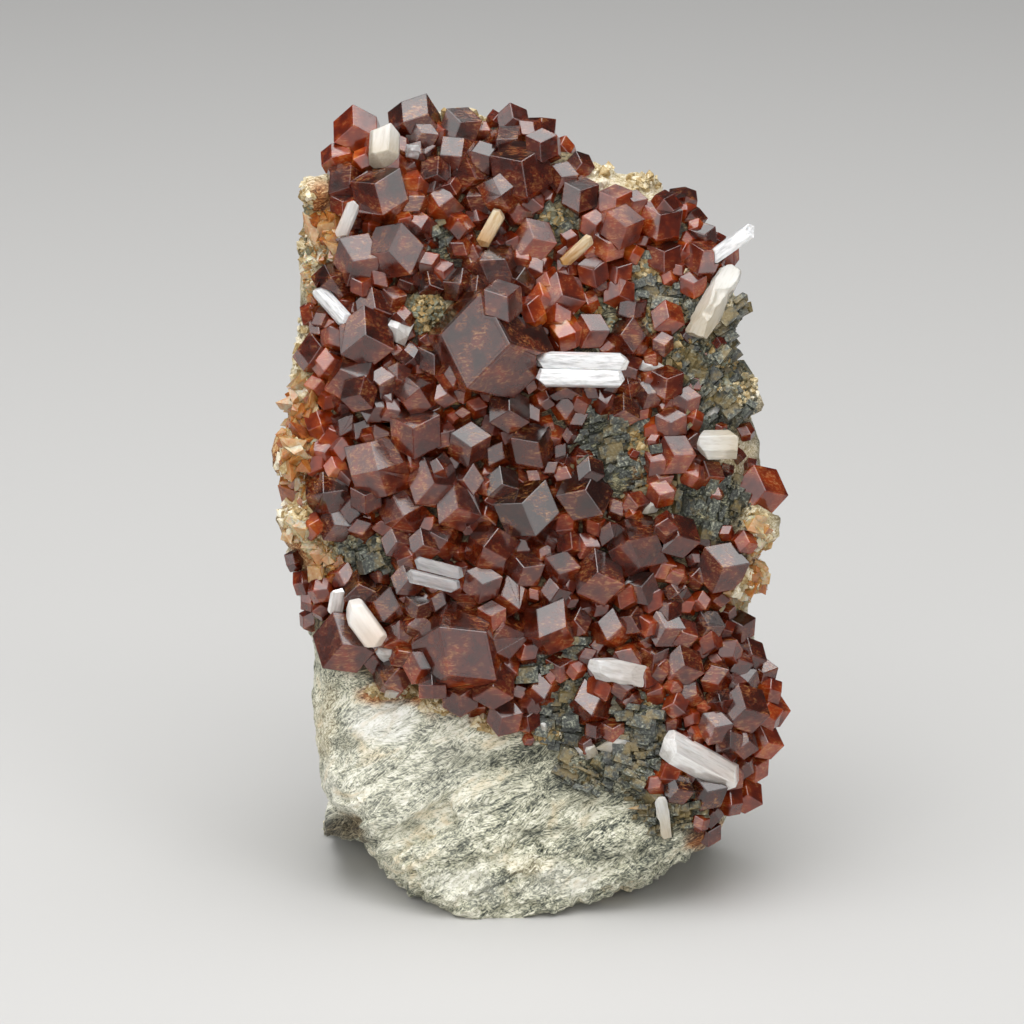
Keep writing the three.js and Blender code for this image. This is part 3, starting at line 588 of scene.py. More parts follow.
@dataclass(frozen=True)
class SchistFinish:
    """Chlorite-bearing schist: split along its sheets, so silky pale grains alternate with dark streaks.

    Where crystals grew on it, the rock is coated: green-black with chlorite, cream and rusty at the rims.
    """

    name: str = "schist"
    fibre_long: float = 1.1
    fibre_wide: float = 0.16
    cross_long: float = 0.66
    cross_wide: float = 0.224
    bundle_long: float = 3.0
    bundle_wide: float = 1.2
    fan_deg: float = 56.0
    cross_deg: float = -24.0
    streak_long: float = 11.0
    streak_wide: float = 0.9
    patch_long: float = 6.4
    patch_wide: float = 4.0
    foliation_deg: float = 31.0
    ochre: str = "#d9b878"
    ochre_share: float = 0.4
    contrast: float = 1.8
    darken: float = 1.8
    # Shares of the cross fibres, the streaks, the patches and the bundles.
    weights: tuple[float, ...] = (0.9, 0.85, 0.95, 0.14)
    relief: float = 0.18
    ior: float = 1.55

    def make(self) -> bpy.types.Material:
        """Makes the material."""
        material, add, shader = new_material(self.name)
        place = add("TexCoord", out="Object")
        layers = []
        for long, wide, slope, swirl in (
            (self.cross_long, self.cross_wide, self.cross_deg, 0.5),
            (self.streak_long, self.streak_wide, self.foliation_deg, 0.6),
            (self.patch_long, self.patch_wide, self.foliation_deg, 0.6),
        ):
            layers.append(self.grain(add, self.sloped(add, place, long, wide, slope), swirl))
        patches = layers[-1]
        fibres, bundles = self.fibres(add, place)
        contrast = {"operation": "MULTIPLY_ADD", 1: self.contrast, 2: -self.darken}
        drive = add("Math", contrast, {0: fibres})
        for layer, weight in zip((*layers, bundles), self.weights):
            drive = add("Math", {"operation": "MULTIPLY_ADD", 1: weight}, {0: layer, 2: drive})
        colour = add("ValToRGB", links={"Fac": drive}, stops=CRUSTED)
        for zone, stops in COATS.items():
            coat = add("ValToRGB", links={"Fac": drive}, stops=stops)
            share = add("Attribute", {"attribute_name": zone.value}, out="Fac")
            colour = add("Mix", {"data_type": "RGBA"}, {0: share, 6: colour, 7: coat}, out=2)
        stained = {"From Min": 0.56, "From Max": 0.68, "To Max": self.ochre_share}
        stain = add("MapRange", stained, {"Value": patches})
        tint = {"data_type": "RGBA", "blend_type": "MULTIPLY", 7: srgb(self.ochre)}
        colour = add("Mix", tint, {0: stain, 6: colour}, out=2)
        silky = {"From Min": 0.35, "From Max": 0.65, "To Min": 0.85, "To Max": 0.5}
        dull = add("MapRange", silky, {"Value": fibres})
        relief = add("Bump", {"Strength": 0.7, "Distance": self.relief * MM}, {"Height": drive})
        set_inputs(shader, {"IOR": self.ior}, {"Base Color": colour, "Roughness": dull, "Normal": relief})
        return material

    @staticmethod
    def grain(add: AddNode, place: Socket, swirl: float) -> Socket:
        """Draws grains at stretched places."""
        settings = {"Scale": 1.0, "Detail": 3.0, "Roughness": 0.66, "Distortion": swirl}
        return add("TexNoise", settings, {"Vector": place})

    @staticmethod
    def sloped(add: AddNode, place: Socket, long: float, wide: float, slope_deg: float) -> Socket:
        """Stretches places along a slope.

        Args:
            add: What adds a node.
            place: The places.
            long: Size along the slope, in millimetres.
            wide: Size across it, in millimetres.
            slope_deg: The slope as the face is seen.

        Returns:
            The stretched places.
        """
        settings = {
            "vector_type": "TEXTURE",
            "Rotation": (0.0, -math.radians(slope_deg), 0.0),
            "Scale": (long * MM, wide * MM, wide * MM),
        }
        return add("Mapping", settings, {"Vector": place})

    def fibres(self, add: AddNode, place: Socket) -> tuple[Socket, Socket]:
        """Draws bundles of fibres, each bundle lying its own way.

        Args:
            add: What adds a node.
            place: The places.

        Returns:
            The fibres, and a shade for each bundle.
        """
        beds = self.sloped(add, place, self.bundle_long, self.bundle_wide, self.foliation_deg)
        own = add("TexVoronoi", {"Scale": 1.0}, {"Vector": beds}, out="Color")
        middle = own.node.outputs["Position"]
        turn = add("SeparateColor", links={"Color": own}, out="Red")
        inside = add("VectorMath", {"operation": "SUBTRACT"}, {0: beds, 1: middle})
        long, wide = self.bundle_long / self.fibre_long, self.bundle_wide / self.fibre_long
        evened = add("VectorMath", {"operation": "MULTIPLY", 1: (long, wide, wide)}, {0: inside})
        fan = math.radians(self.fan_deg)
        angle = add("Math", {"operation": "MULTIPLY_ADD", 1: fan, 2: -0.5 * fan}, {0: turn})
        turned = add("VectorRotate", {"rotation_type": "Y_AXIS"}, {"Vector": evened, "Angle": angle})
        narrow = self.fibre_long / self.fibre_wide
        thin = add("VectorMath", {"operation": "MULTIPLY", 1: (1.0, narrow, narrow)}, {0: turned})
        # Each bundle takes its fibres from a part of the noise far from its neighbours' parts.
        far = (17.0, 17.0, 17.0)
        apart = add("VectorMath", {"operation": "MULTIPLY_ADD", 1: far}, {0: own, 2: thin})
        return self.grain(add, apart, 0.5), turn.node.outputs["Green"]


@dataclass(frozen=True)
class ChloriteFinish:
    """Chlorite: soft green-black mica in stacks of plates, which glint on their flat sides; the lightest
    specks of its grain are painted glints.

    Its split surfaces are grainy, and iron has left olive-gold stains in the hollows. The grains are drawn
    coarser than real flakes, which would be too fine to show.
    """

    name: str = "chlorite"
    grain: float = 0.28
    grain_contrast: float = 2.2
    grain_darken: float = 0.75
    tone_share: float = 0.4
    stain_size: float = 2.4
    stain: str = "#84703f"
    stain_share: float = 0.7
    relief: float = 0.12
    roughness: float = 0.4
    ior: float = 1.6

    def make(self) -> bpy.types.Material:
        """Makes the material."""
        material, add, shader = new_material(self.name)
        place = add("TexCoord", out="Object")
        tone = add("Attribute", {"attribute_name": "tone"}, out="Fac")
        fine = {"Scale": per_mm(self.grain), "Detail": 3.0, "Roughness": 0.7}
        flakes = add("TexNoise", fine, {"Vector": place})
        broad = {"Scale": per_mm(self.stain_size), "Detail": 4.0, "Roughness": 0.7}
        stains = add("TexNoise", broad, {"Vector": place})
        contrast = {"operation": "MULTIPLY_ADD", 1: self.grain_contrast, 2: -self.grain_darken}
        spread = add("Math", contrast, {0: flakes})
        drive = add("Math", {"operation": "MULTIPLY_ADD", 1: self.tone_share}, {0: tone, 2: spread})
        # Dark to light grain tone; the lightest specks are painted highlights standing for glints of the
        # flakes.
        stops = ((0.2, "#191b17"), (0.46, "#383b34"), (0.7, "#64685c"), (0.98, "#b4b39e"))
        colour = add("ValToRGB", links={"Fac": drive}, stops=stops)
        gold = {"From Min": 0.48, "From Max": 0.6, "To Max": self.stain_share}
        stained = add("MapRange", gold, {"Value": stains})
        colour = add("Mix", {"data_type": "RGBA", 7: srgb(self.stain)}, {0: stained, 6: colour}, out=2)
        relief = add("Bump", {"Strength": 0.8, "Distance": self.relief * MM}, {"Height": flakes})
        values = {"Roughness": self.roughness, "IOR": self.ior}
        set_inputs(shader, values, {"Base Color": colour, "Normal": relief})
        return material


class PrismKind(Enum):
    """How diopside looks: darkest and lightest colour, tint of the lower end, and how clear it is."""

    MILKY = ("#d9d4ce", "#f8f6f3", "#f3ebe5", 0.4)
    WHITE = ("#bdbcbc", "#ffffff", "#ffffff", 0.3)
    CHINA = ("#eae3db", "#f2ede6", "#f2e6dc", 0.15)
    CLEAR = ("#dad8d6", "#ffffff", "#ffffff", 0.8)
    CREAM = ("#e4dfd4", "#f8f5ee", "#ece2d0", 0.5)
    TAN = ("#d6b47e", "#f4e2c0", "#e2c08c", 0.45)


@dataclass(frozen=True)
class DiopsideFinish:
    """Diopside: silky prisms, striped along their length by growth, white where full of fine cracks."""

    kind: PrismKind
    ior: float = 1.68
    roughness: float = 0.11
    cloudy: float = 0.4
    reach: Triple = (1.0, 0.9, 0.8)
    depth: float = 0.8
    stripe_wide: float = 0.3
    stripe_long: float = 1.8
    relief: float = 0.06

    def make(self) -> bpy.types.Material:
        """Makes the material."""
        dark, light, foot, clear = self.kind.value
        material, add, shader = new_material(f"diopside_{self.kind.name.lower()}")
        place = add("Attribute", {"attribute_name": "prism"}, out="Vector")
        height = add("Attribute", {"attribute_name": "height"}, out="Fac")
        fine = (1.0 / self.stripe_wide, 1.0 / self.stripe_wide, 1.0 / self.stripe_long)
        along = add("Mapping", {"Scale": fine}, {"Vector": place})
        stripes = add("TexNoise", {"Scale": 1.0, "Detail": 4.0, "Roughness": 0.6}, {"Vector": along})
        colour = add("ValToRGB", links={"Fac": stripes}, stops=((0.3, dark), (0.55, light)))
        fading = {"From Min": 0.15, "From Max": 0.75, "To Min": 1.0, "To Max": 0.0}
        low = add("MapRange", fading, {"Value": height})
        tint = {"data_type": "RGBA", "blend_type": "MULTIPLY", 7: srgb(foot)}
        colour = add("Mix", tint, {0: low, 6: colour}, out=2)
        relief = add("Bump", {"Strength": 0.15, "Distance": self.relief * MM}, {"Height": stripes})
        inside = LightInside(clear, self.cloudy, self.reach, self.depth)
        values = {"Roughness": self.roughness, "IOR": self.ior, **inside.settings()}
        set_inputs(shader, values, {"Base Color": colour, "Normal": relief})
        return material


@dataclass(frozen=True)
class FloorFinish:
    """Pale card: matt coated paper, which gives a soft even floor."""

    name: str = "pale_card"
    colour: str = "#bebdbb"
    roughness: float = 0.7

    def make(self) -> bpy.types.Material:
        """Makes the material."""
        material, _, shader = new_material(self.name)
        set_inputs(shader, {"Base Color": srgb(self.colour), "Roughness": self.roughness}, {})
        return material


@dataclass
class MatrixRock:
    """The schist slab: its solid made finely rough, with the zones that its crystals grew in."""

    face: FaceFrame
    voxel: float = 0.42
    flat_base: float = 1.0
    foliation_deg: float = 30.0
    sheet: float = 3.6
    sheet_step: float = 0.75
    sheet_tilt: float = 0.25
    sheet_bend: NoiseLayer = NoiseLayer(14.0, 3, 3.2)
    sheet_share: float = 0.45
    sheet_sharp: NoiseLayer = NoiseLayer(11.0, 2, 1.5, 60.0)
    streak_size: Triple = (6.0, 0.9, 3.0)
    streak_heights: Span = (0.28, 0.16)
    streak_finer: float = 2.1
    streak_apart: float = 5.0
    broken: NoiseLayer = NoiseLayer(7.0, 4, 0.56)
    crags: NoiseLayer = NoiseLayer(2.2, 3, 0.4, 23.0)
    ragged: NoiseLayer = NoiseLayer(1.7, 3, 1.3, 77.0)
    ragged_up: Span = (5.0, 14.0)
    bed: NoiseLayer = NoiseLayer(2.4, 3, 0.55, 9.0)
    bed_rise: float = 0.2
    wander_across: NoiseLayer = NoiseLayer(5.0, 3, 1.6)
    wander_up: NoiseLayer = NoiseLayer(5.0, 3, 1.6, 40.0)
    edge_blur: float = 1.0
    crust_depth: Span = (-9.0, -4.0)
    coat_depth: Span = (-14.0, -6.0)
    zone_seed: int = 21
    rough_seed: int = 4

    def build(self, node: bpy.types.Object) -> bpy.types.Object:
        """Builds the rough rock over its solid.

        Args:
            node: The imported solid.

        Returns:
            The piece that stands for it.
        """
        mesh = even_mesh(node.data, self.voxel)
        points = mesh_points(mesh)
        place = self.face.to_face(points)
        zones = self.zones(place)
        rise = self.rise(place, zones) * smooth_step(0.0, self.flat_base, points[:, 2] / MM)
        moved = points + mesh_normals(mesh) * rise[:, None] * MM
        moved[:, 2] = np.maximum(moved[:, 2], 0.0)
        mesh.vertices.foreach_set("co", moved.ravel())
        for zone, share in zones.items():
            set_attribute(mesh, zone.value, "POINT", share)
        mesh.update()
        piece = add_piece("schist_matrix", mesh, SchistFinish().make())
        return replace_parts(piece, node.name)

    def zones(self, place: np.ndarray) -> dict[Zone, np.ndarray]:
        """Gives how much each zone covers each point.

        Args:
            place: Face places, one row each.

        Returns:
            Shares from 0 to 1 by zone.
        """
        noise = RockNoise(self.zone_seed)
        across = place[:, 0] + self.wander_across.at(noise, place)
        up = place[:, 1] + self.wander_up.at(noise, place)
        front = smooth_step(*self.crust_depth, place[:, 2])
        blur = self.edge_blur
        above = smooth_step(-blur, blur, up - bare_edge(across)) * front
        shares = {Zone.BARE: 1.0 - above}
        for zone, patches in PATCHES.items():
            covered = np.max([patch.inside(across, up) for patch in patches], axis=0)
            shares[zone] = covered * smooth_step(*self.coat_depth, place[:, 2])
        return shares

    def rise(self, place: np.ndarray, zones: dict[Zone, np.ndarray]) -> np.ndarray:
        """Gives how far the rough skin stands off the plain solid.

        Args:
            place: Face places, one row each.
            zones: Zone shares of the same points.

        Returns:
            One height per point, in millimetres.
        """
        noise = RockNoise(self.rough_seed)
        turn = math.radians(self.foliation_deg)
        along = place[:, 0] * math.cos(turn) + place[:, 1] * math.sin(turn)
        across = place[:, 1] * math.cos(turn) - place[:, 0] * math.sin(turn) + self.sheet_tilt * place[:, 2]
        stretched = np.stack([along, across, place[:, 2]], axis=1) / np.array(self.streak_size)
        broad, fine = self.streak_heights
        finer = self.streak_finer * stretched + self.streak_apart
        streaks = broad * noise.at(stretched) + fine * noise.at(finer)
        sheets = (across + self.sheet_bend.at(noise, place)) / self.sheet
        # Some sheets end in a sharp step, others fade out.
        sharp = np.clip(self.sheet_share + self.sheet_sharp.at(noise, place), 0.0, 1.0)
        steps = self.sheet_step * sharp * (sheets - np.floor(sheets) - 0.5)
        low = 1.0 - smooth_step(*self.ragged_up, place[:, 1])
        breaks = self.broken.at(noise, place) + self.crags.at(noise, place)
        bare = zones[Zone.BARE]
        rough = streaks + steps + breaks + low * self.ragged.at(noise, place)
        return bare * rough + (1.0 - bare) * (self.bed_rise + self.bed.at(noise, place))


class CrystalShape:
    """One chamfered crystal of unit width, to be copied into heaps."""

    flat_angle = 0.01

    def __init__(self, corners: Iterable[Triple], chamfer: float) -> None:
        """Shapes the crystal as the hull of its corners.

        Args:
            corners: The sharp corners.
            chamfer: Width of the cut on every edge.
        """
        shape = bmesh.new()
        for corner in corners:
            shape.verts.new(corner)
        bmesh.ops.convex_hull(shape, input=shape.verts)
        flat = self.flat_angle
        bmesh.ops.dissolve_limit(shape, angle_limit=flat, verts=shape.verts, edges=shape.edges)
        if chamfer:
            edges = list(shape.edges)
            bmesh.ops.bevel(shape, geom=edges, offset=chamfer, segments=1, profile=0.5, affect="EDGES")
        shape.normal_update()
        self.corners = np.array([v.co for v in shape.verts])
        self.faces = [[v.index for v in f.verts] for f in shape.faces]
        shape.free()


def dodecahedron_corners() -> list[Triple]:
    """Gives the corners of a rhombic dodecahedron that is 1 wide between opposite faces."""
    unit = 1.0 / (2.0 * math.sqrt(2.0))
    cube = [tuple(unit * c for c in corner) for corner in itertools.product((-1, 1), repeat=3)]
    ends = itertools.product(range(3), (-1, 1))
    tips = [tuple(2.0 * unit * sign * (axis == i) for i in range(3)) for axis, sign in ends]
    return cube + tips


def box_corners() -> list[Triple]:
    """Gives the corners of a box that is 1 wide."""
    return [tuple(0.5 * c for c in corner) for corner in itertools.product((-1, 1), repeat=3)]


def broken_shape(
    corners: Iterable[Triple], unevenness: float, random: np.random.Generator
) -> CrystalShape:
    """Gives a shape whose corners are knocked off their places, by up to a share of its width."""
    regular = np.array(list(corners))
    return CrystalShape(regular + random.uniform(-unevenness, unevenness, regular.shape), 0.0)


def random_turn(random: np.random.Generator) -> np.ndarray:
    """Gives an evenly random rotation.

    Args:
        random: The source of the rotation.

    Returns:
        A matrix that turns columns.
    """
    turn, upper = np.linalg.qr(random.normal(size=(3, 3)))
    turn = turn * np.sign(np.diag(upper))
    turn[:, 0] *= np.sign(np.linalg.det(turn))
    return turn


@dataclass
class Heap:
    """Many small crystals gathered into one mesh."""

    face: FaceFrame
    points: list[np.ndarray] = field(default_factory=list)
    faces: list[list[int]] = field(default_factory=list)
    tones: list[float] = field(default_factory=list)
    count: int = 0

    def add(
        self, shape: CrystalShape, turn: np.ndarray, sides: np.ndarray, place: np.ndarray, tone: float
    ) -> None:
        """Adds one crystal.

        Args:
            shape: Its shape.
            turn: Its rotation in face axes.
            sides: Its size along its own axes.
            place: Its middle, in face axes.
            tone: The number that its material reads, 0 dark to 1 light.
        """
        self.points.append((shape.corners * sides) @ turn.T + place)
        self.faces.extend([self.count + i for i in loop] for loop in shape.faces)
        self.tones.extend([tone] * len(shape.faces))
        self.count += len(shape.corners)

    def mesh(self) -> bpy.types.Mesh:
        """Makes the mesh of all that was added."""
        mesh = bpy.data.meshes.new("heap")
        points = self.face.to_model(np.concatenate(self.points))
        mesh.from_pydata(points.tolist(), [], self.faces)
        set_attribute(mesh, "tone", "FACE", np.array(self.tones))
        mesh.update()
        return mesh


# A garnet's tone: its usual value, what a thin one adds to it, and how much it varies.
BASE_TONE = 0.2
THIN_TONE = 0.14
TONE_SPREAD = 0.1
THICK_WIDTH = 7.0
THIN_WIDTH = 1.5

# Where the garnets are thin or stand at the crust's rims, so that light comes back orange.
ORANGE_AREAS = (
    Patch(-20.6, 83.4, 3.2, 5.4, 0.36),
    Patch(12.6, 73.2, 7.0, 7.0, 0.22),
    Patch(-24.6, 52.0, 3.0, 7.0, 0.34),
    Patch(14.6, 55.0, 4.0, 5.0, 0.2),
    Patch(24.4, 46.8, 2.6, 2.6, 0.34),
    Patch(25.6, 21.0, 2.8, 8.0, 0.18),
    Patch(1.0, 66.6, 6.0, 5.0, 0.14),
)


def garnet_tone(across: float, up: float, width: float, random: np.random.Generator) -> float:
    """Gives how orange a garnet is: dark where it is thick, lighter where it is small or at a rim.

    Args:
        across: Where it sits.
        up: Where it sits.
        width: Its width.
        random: The source of its own share.

    Returns:
        0 for the darkest to 1 for the most orange.
    """
    rim = max(area.inside(across, up) for area in ORANGE_AREAS)
    thin = smooth_step(THICK_WIDTH, THIN_WIDTH, width)
    tone = BASE_TONE + rim + THIN_TONE * thin + random.normal(0.0, TONE_SPREAD)
    return float(np.clip(tone, 0.0, 1.0))


@dataclass
class GarnetCrystals:
    """The listed garnets: their solids with chamfered edges, and raised growth plates on the large faces."""

    face: FaceFrame
    seed: int = 31
    chamfer: float = 0.065
    lift: float = 0.03
    plate_inset: float = 0.34
    plate_rise: float = 0.035
    plate_from: float = 14.0
    broad_from: float = 0.4
    # How much more orange faces that point down are: painted glow of light that came through from above.
    painted_underglow: float = 0.24
    close: float = 0.13
    seam: float = 0.002
    flat_deg: float = 3.0
    corner_limit: float = 1.6

    def build(
        self, nodes: Iterable[bpy.types.Object], material: bpy.types.Material
    ) -> list[bpy.types.Object]:
        """Builds a dressed copy of each garnet solid.

        Args:
            nodes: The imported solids.
            material: The garnets' material.

        Returns:
            The pieces that stand for them.
        """
        random = np.random.default_rng(self.seed)
        pieces = []
        for node in nodes:
            mesh = self.dressed_mesh(node.data, random)
            piece = add_piece(f"{node.name}_crystals", mesh, material)
            pieces.append(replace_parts(piece, node.name))
        return pieces

    def dressed_mesh(self, solid: bpy.types.Mesh, random: np.random.Generator) -> bpy.types.Mesh:
        """Copies a solid with whole faces, chamfers, growth plates and one tone per crystal, raised on its
        downward faces as painted glow.

        Args:
            solid: The plain garnets.
            random: The source of their tones.

        Returns:
            The dressed copy.
        """
        shape = bmesh.new()
        shape.from_mesh(solid)
        bmesh.ops.remove_doubles(shape, verts=shape.verts, dist=self.seam * MM)
        flat = math.radians(self.flat_deg)
        bmesh.ops.dissolve_limit(shape, angle_limit=flat, verts=shape.verts, edges=shape.edges)
        shape.normal_update()
        outward = [v.normal * min(v.calc_shell_factor(), self.corner_limit) for v in shape.verts]
        for v, direction in zip(shape.verts, outward):
            v.co += direction * self.close * MM
        tone = shape.faces.layers.float.new("tone")
        for crystal in self.crystals(shape):
            corners = self.face.to_face(np.array([v.co for f in crystal for v in f.verts]))
            across, up, _ = corners.mean(axis=0)
            value = garnet_tone(across, up, np.ptp(corners[:, :2], axis=0).max(), random)
            for f in crystal:
                # Painted glow: a face that points down gets a higher, more orange tone, as if light from
                # above came through the crystal and out of it.
                f[tone] = value - self.painted_underglow * f.normal.z
        broad = [f for f in shape.faces if f.calc_area() > self.broad_from * MM * MM]
        self.inset(shape, broad, self.chamfer, self.lift)
        large = [f for f in broad if f.calc_area() > self.plate_from * MM * MM]
        self.inset(shape, large, self.plate_inset, 0.0)
        self.inset(shape, large, self.plate_rise, self.plate_rise)
        for f in shape.faces:
            f.smooth = False
        return finished_mesh(shape)

    @staticmethod
    def inset(
        shape: bmesh.types.BMesh, faces: list[bmesh.types.BMFace], width: float, height: float
    ) -> None:
        """Rings each face with a rim.

        Args:
            shape: The mesh.
            faces: Its faces to ring.
            width: Width of the rim.
            height: How far the face inside it is lifted.
        """
        bmesh.ops.inset_individual(
            shape, faces=faces, thickness=width * MM, depth=height * MM, use_even_offset=False
        )

    @staticmethod
    def crystals(shape: bmesh.types.BMesh) -> list[list[bmesh.types.BMFace]]:
        """Parts a grown-together mesh into crystals: inside one, every edge is convex.

        Args:
            shape: The mesh.

        Returns:
            The faces of each crystal.
        """
        left = set(shape.faces)
        found = []
        while left:
            start = min(left, key=lambda f: f.index)
            left.discard(start)
            crystal, front = [start], [start]
            while front:
                for edge in front.pop().edges:
                    if not edge.is_convex:
                        continue
                    for f in edge.link_faces:
                        if f in left:
                            left.discard(f)
                            crystal.append(f)
                            front.append(f)
            found.append(crystal)
        return found


# Small garnets that stand out on bare rock and chlorite: across, up and width.
SMALL_GARNETS = (
    (17.9, 61.5, 1.2), (20.1, 53.6, 1.3), (22.9, 53.3, 1.7), (22.0, 50.7, 1.4), (10.6, 50.8, 1.2),
    (20.7, 49.1, 1.5), (16.3, 63.9, 1.6), (21.7, 71.0, 2.0), (20.6, 42.3, 1.8), (22.7, 41.3, 2.4),
    (14.8, 21.7, 1.9), (-0.8, 19.8, 1.3), (-18.3, 52.8, 1.6), (-22.2, 61.7, 2.0), (19.9, 63.0, 1.4),
    (23.4, 49.6, 1.6), (8.4, 19.4, 1.6), (12.0, 20.4, 1.4), (19.4, 46.4, 1.8), (12.6, 52.2, 1.5),
    (14.0, 42.9, 2.6),
)


# Where garnets stand apart, or are missing, and the rock shows.
SPARSE_AREAS = (
    Patch(10.6, 67.6, 8.5, 8.5, 0.62),
    Patch(-26.0, 55.0, 2.4, 14.0),
    Patch(-23.6, 74.0, 2.4, 8.0),
    Patch(-23.0, 40.0, 2.6, 3.4),
    Patch(21.4, 52.0, 4.6, 18.0, 0.96),
    Patch(6.0, 80.8, 8.0, 1.8),
    Patch(20.4, 67.4, 3.0, 4.0),
)


@dataclass
class SmallGarnets:
    """Garnets between and behind the listed ones, down to the smallest that show."""

    face: FaceFrame
    rock: FaceSurface
    crust: FaceSurface
    seed: int = 47
    grid: float = 0.9
    grid_jitter: float = 0.4
    across_range: Span = (-27.0, 28.0)
    up_range: Span = (6.0, 89.0)
    smallest: float = 1.6
    largest: float = 3.4
    size_lean: Span = (1.4, 2.0)
    stretch: Span = (0.95, 1.07)
    listed_room: float = 0.5
    room: float = 0.62
    lift: float = 0.1
    lifts: Span = (-0.2, 0.3)
    chamfer: float = 0.024
    rim_level: float = -7.0
    edge_margin: float = 1.0
    bareness: float = 1.25

    def build(self, material: bpy.types.Material) -> bpy.types.Object:
        """Builds all the small garnets as one piece.

        Args:
            material: The garnets' material.

        Returns:
            The piece.
        """
        random = np.random.default_rng(self.seed)
        heap = Heap(self.face)
        shape = CrystalShape(dodecahedron_corners(), self.chamfer)
        for across, up, width in SMALL_GARNETS:
            self.place(heap, shape, random, (across, up), width, self.lift)
        self.fill(heap, shape, random)
        return add_piece("small_garnets", heap.mesh(), material)

    def place(
        self,
        heap: Heap,
        shape: CrystalShape,
        random: np.random.Generator,
        spot: Span,
        width: float,
        lift: float,
    ) -> None:
        """Seats one garnet on what lies under it.

        Args:
            heap: Where it goes.
            shape: Its shape.
            random: The source of its turn and tone.
            spot: Where it sits, across and up.
            width: Its width between opposite faces.
            lift: How far its middle stands off its seat, as a share of its width.
        """
        seats = (self.rock.level(*spot), self.crust.level(*spot))
        levels = [level for level in seats if level is not None]
        if not levels:
            return
        place = np.array([*spot, max(levels) + lift * width])
        sides = width * random.uniform(*self.stretch, 3)
        heap.add(shape, random_turn(random), sides, place, garnet_tone(*spot, width, random))

    def fill(self, heap: Heap, shape: CrystalShape, random: np.random.Generator) -> None:
        """Fills what is still bare between the crystals.

        Args:
            heap: Where the garnets go.
            shape: Their shape.
            random: The source of their order, sizes, turns and tones.
        """
        across_steps = np.arange(*self.across_range, self.grid)
        up_steps = np.arange(*self.up_range, self.grid)
        spots = np.array(list(itertools.product(across_steps, up_steps)))
        moves = (-self.grid_jitter, self.grid_jitter, spots.shape)
        spots = random.permutation(spots) + random.uniform(*moves) * self.grid
        taken = [(across, up, self.listed_room * width) for across, up, width in SMALL_GARNETS]
        for across, up in spots:
            level = self.rock.level(across, up)
            if level is None or level < self.rim_level or not self.grows_at(across, up, random):
                continue
            crystal = self.crust.level(across, up)
            if crystal is not None and crystal > level:
                continue
            near = np.array(taken)
            if (np.hypot(near[:, 0] - across, near[:, 1] - up) < near[:, 2]).any():
                continue
            width = self.smallest + (self.largest - self.smallest) * random.beta(*self.size_lean)
            taken.append((across, up, self.room * width))
            self.place(heap, shape, random, (across, up), width, random.uniform(*self.lifts))

    def grows_at(self, across: float, up: float, random: np.random.Generator) -> bool:
        """Says whether garnet covers a place, rather than chlorite or bare rock.

        Args:
            across: The place across the face.
            up: The place up it.
            random: The source of the answer where the cover is patchy.

        Returns:
            True where a garnet grows.
        """
        if up < bare_edge(across) + self.edge_margin:
            return False
        areas = (*PATCHES[Zone.GREEN], *PATCHES[Zone.CREAM], *SPARSE_AREAS)
        bare = max(area.inside(across, up) for area in areas)
        return bool(random.random() > self.bareness * bare)


def small_turn(random: np.random.Generator, spread: float) -> np.ndarray:
    """Gives a rotation matrix near no turn at all, about `spread` radians off."""
    return np.linalg.qr(np.eye(3) + random.normal(0.0, spread, (3, 3)))[0]


def roll(degrees: float) -> np.ndarray:
    """Gives the rotation matrix of a roll in the face's plane, from across towards up."""
    cos, sin = math.cos(math.radians(degrees)), math.sin(math.radians(degrees))
    return np.array([[cos, -sin, 0.0], [sin, cos, 0.0], [0.0, 0.0, 1.0]])


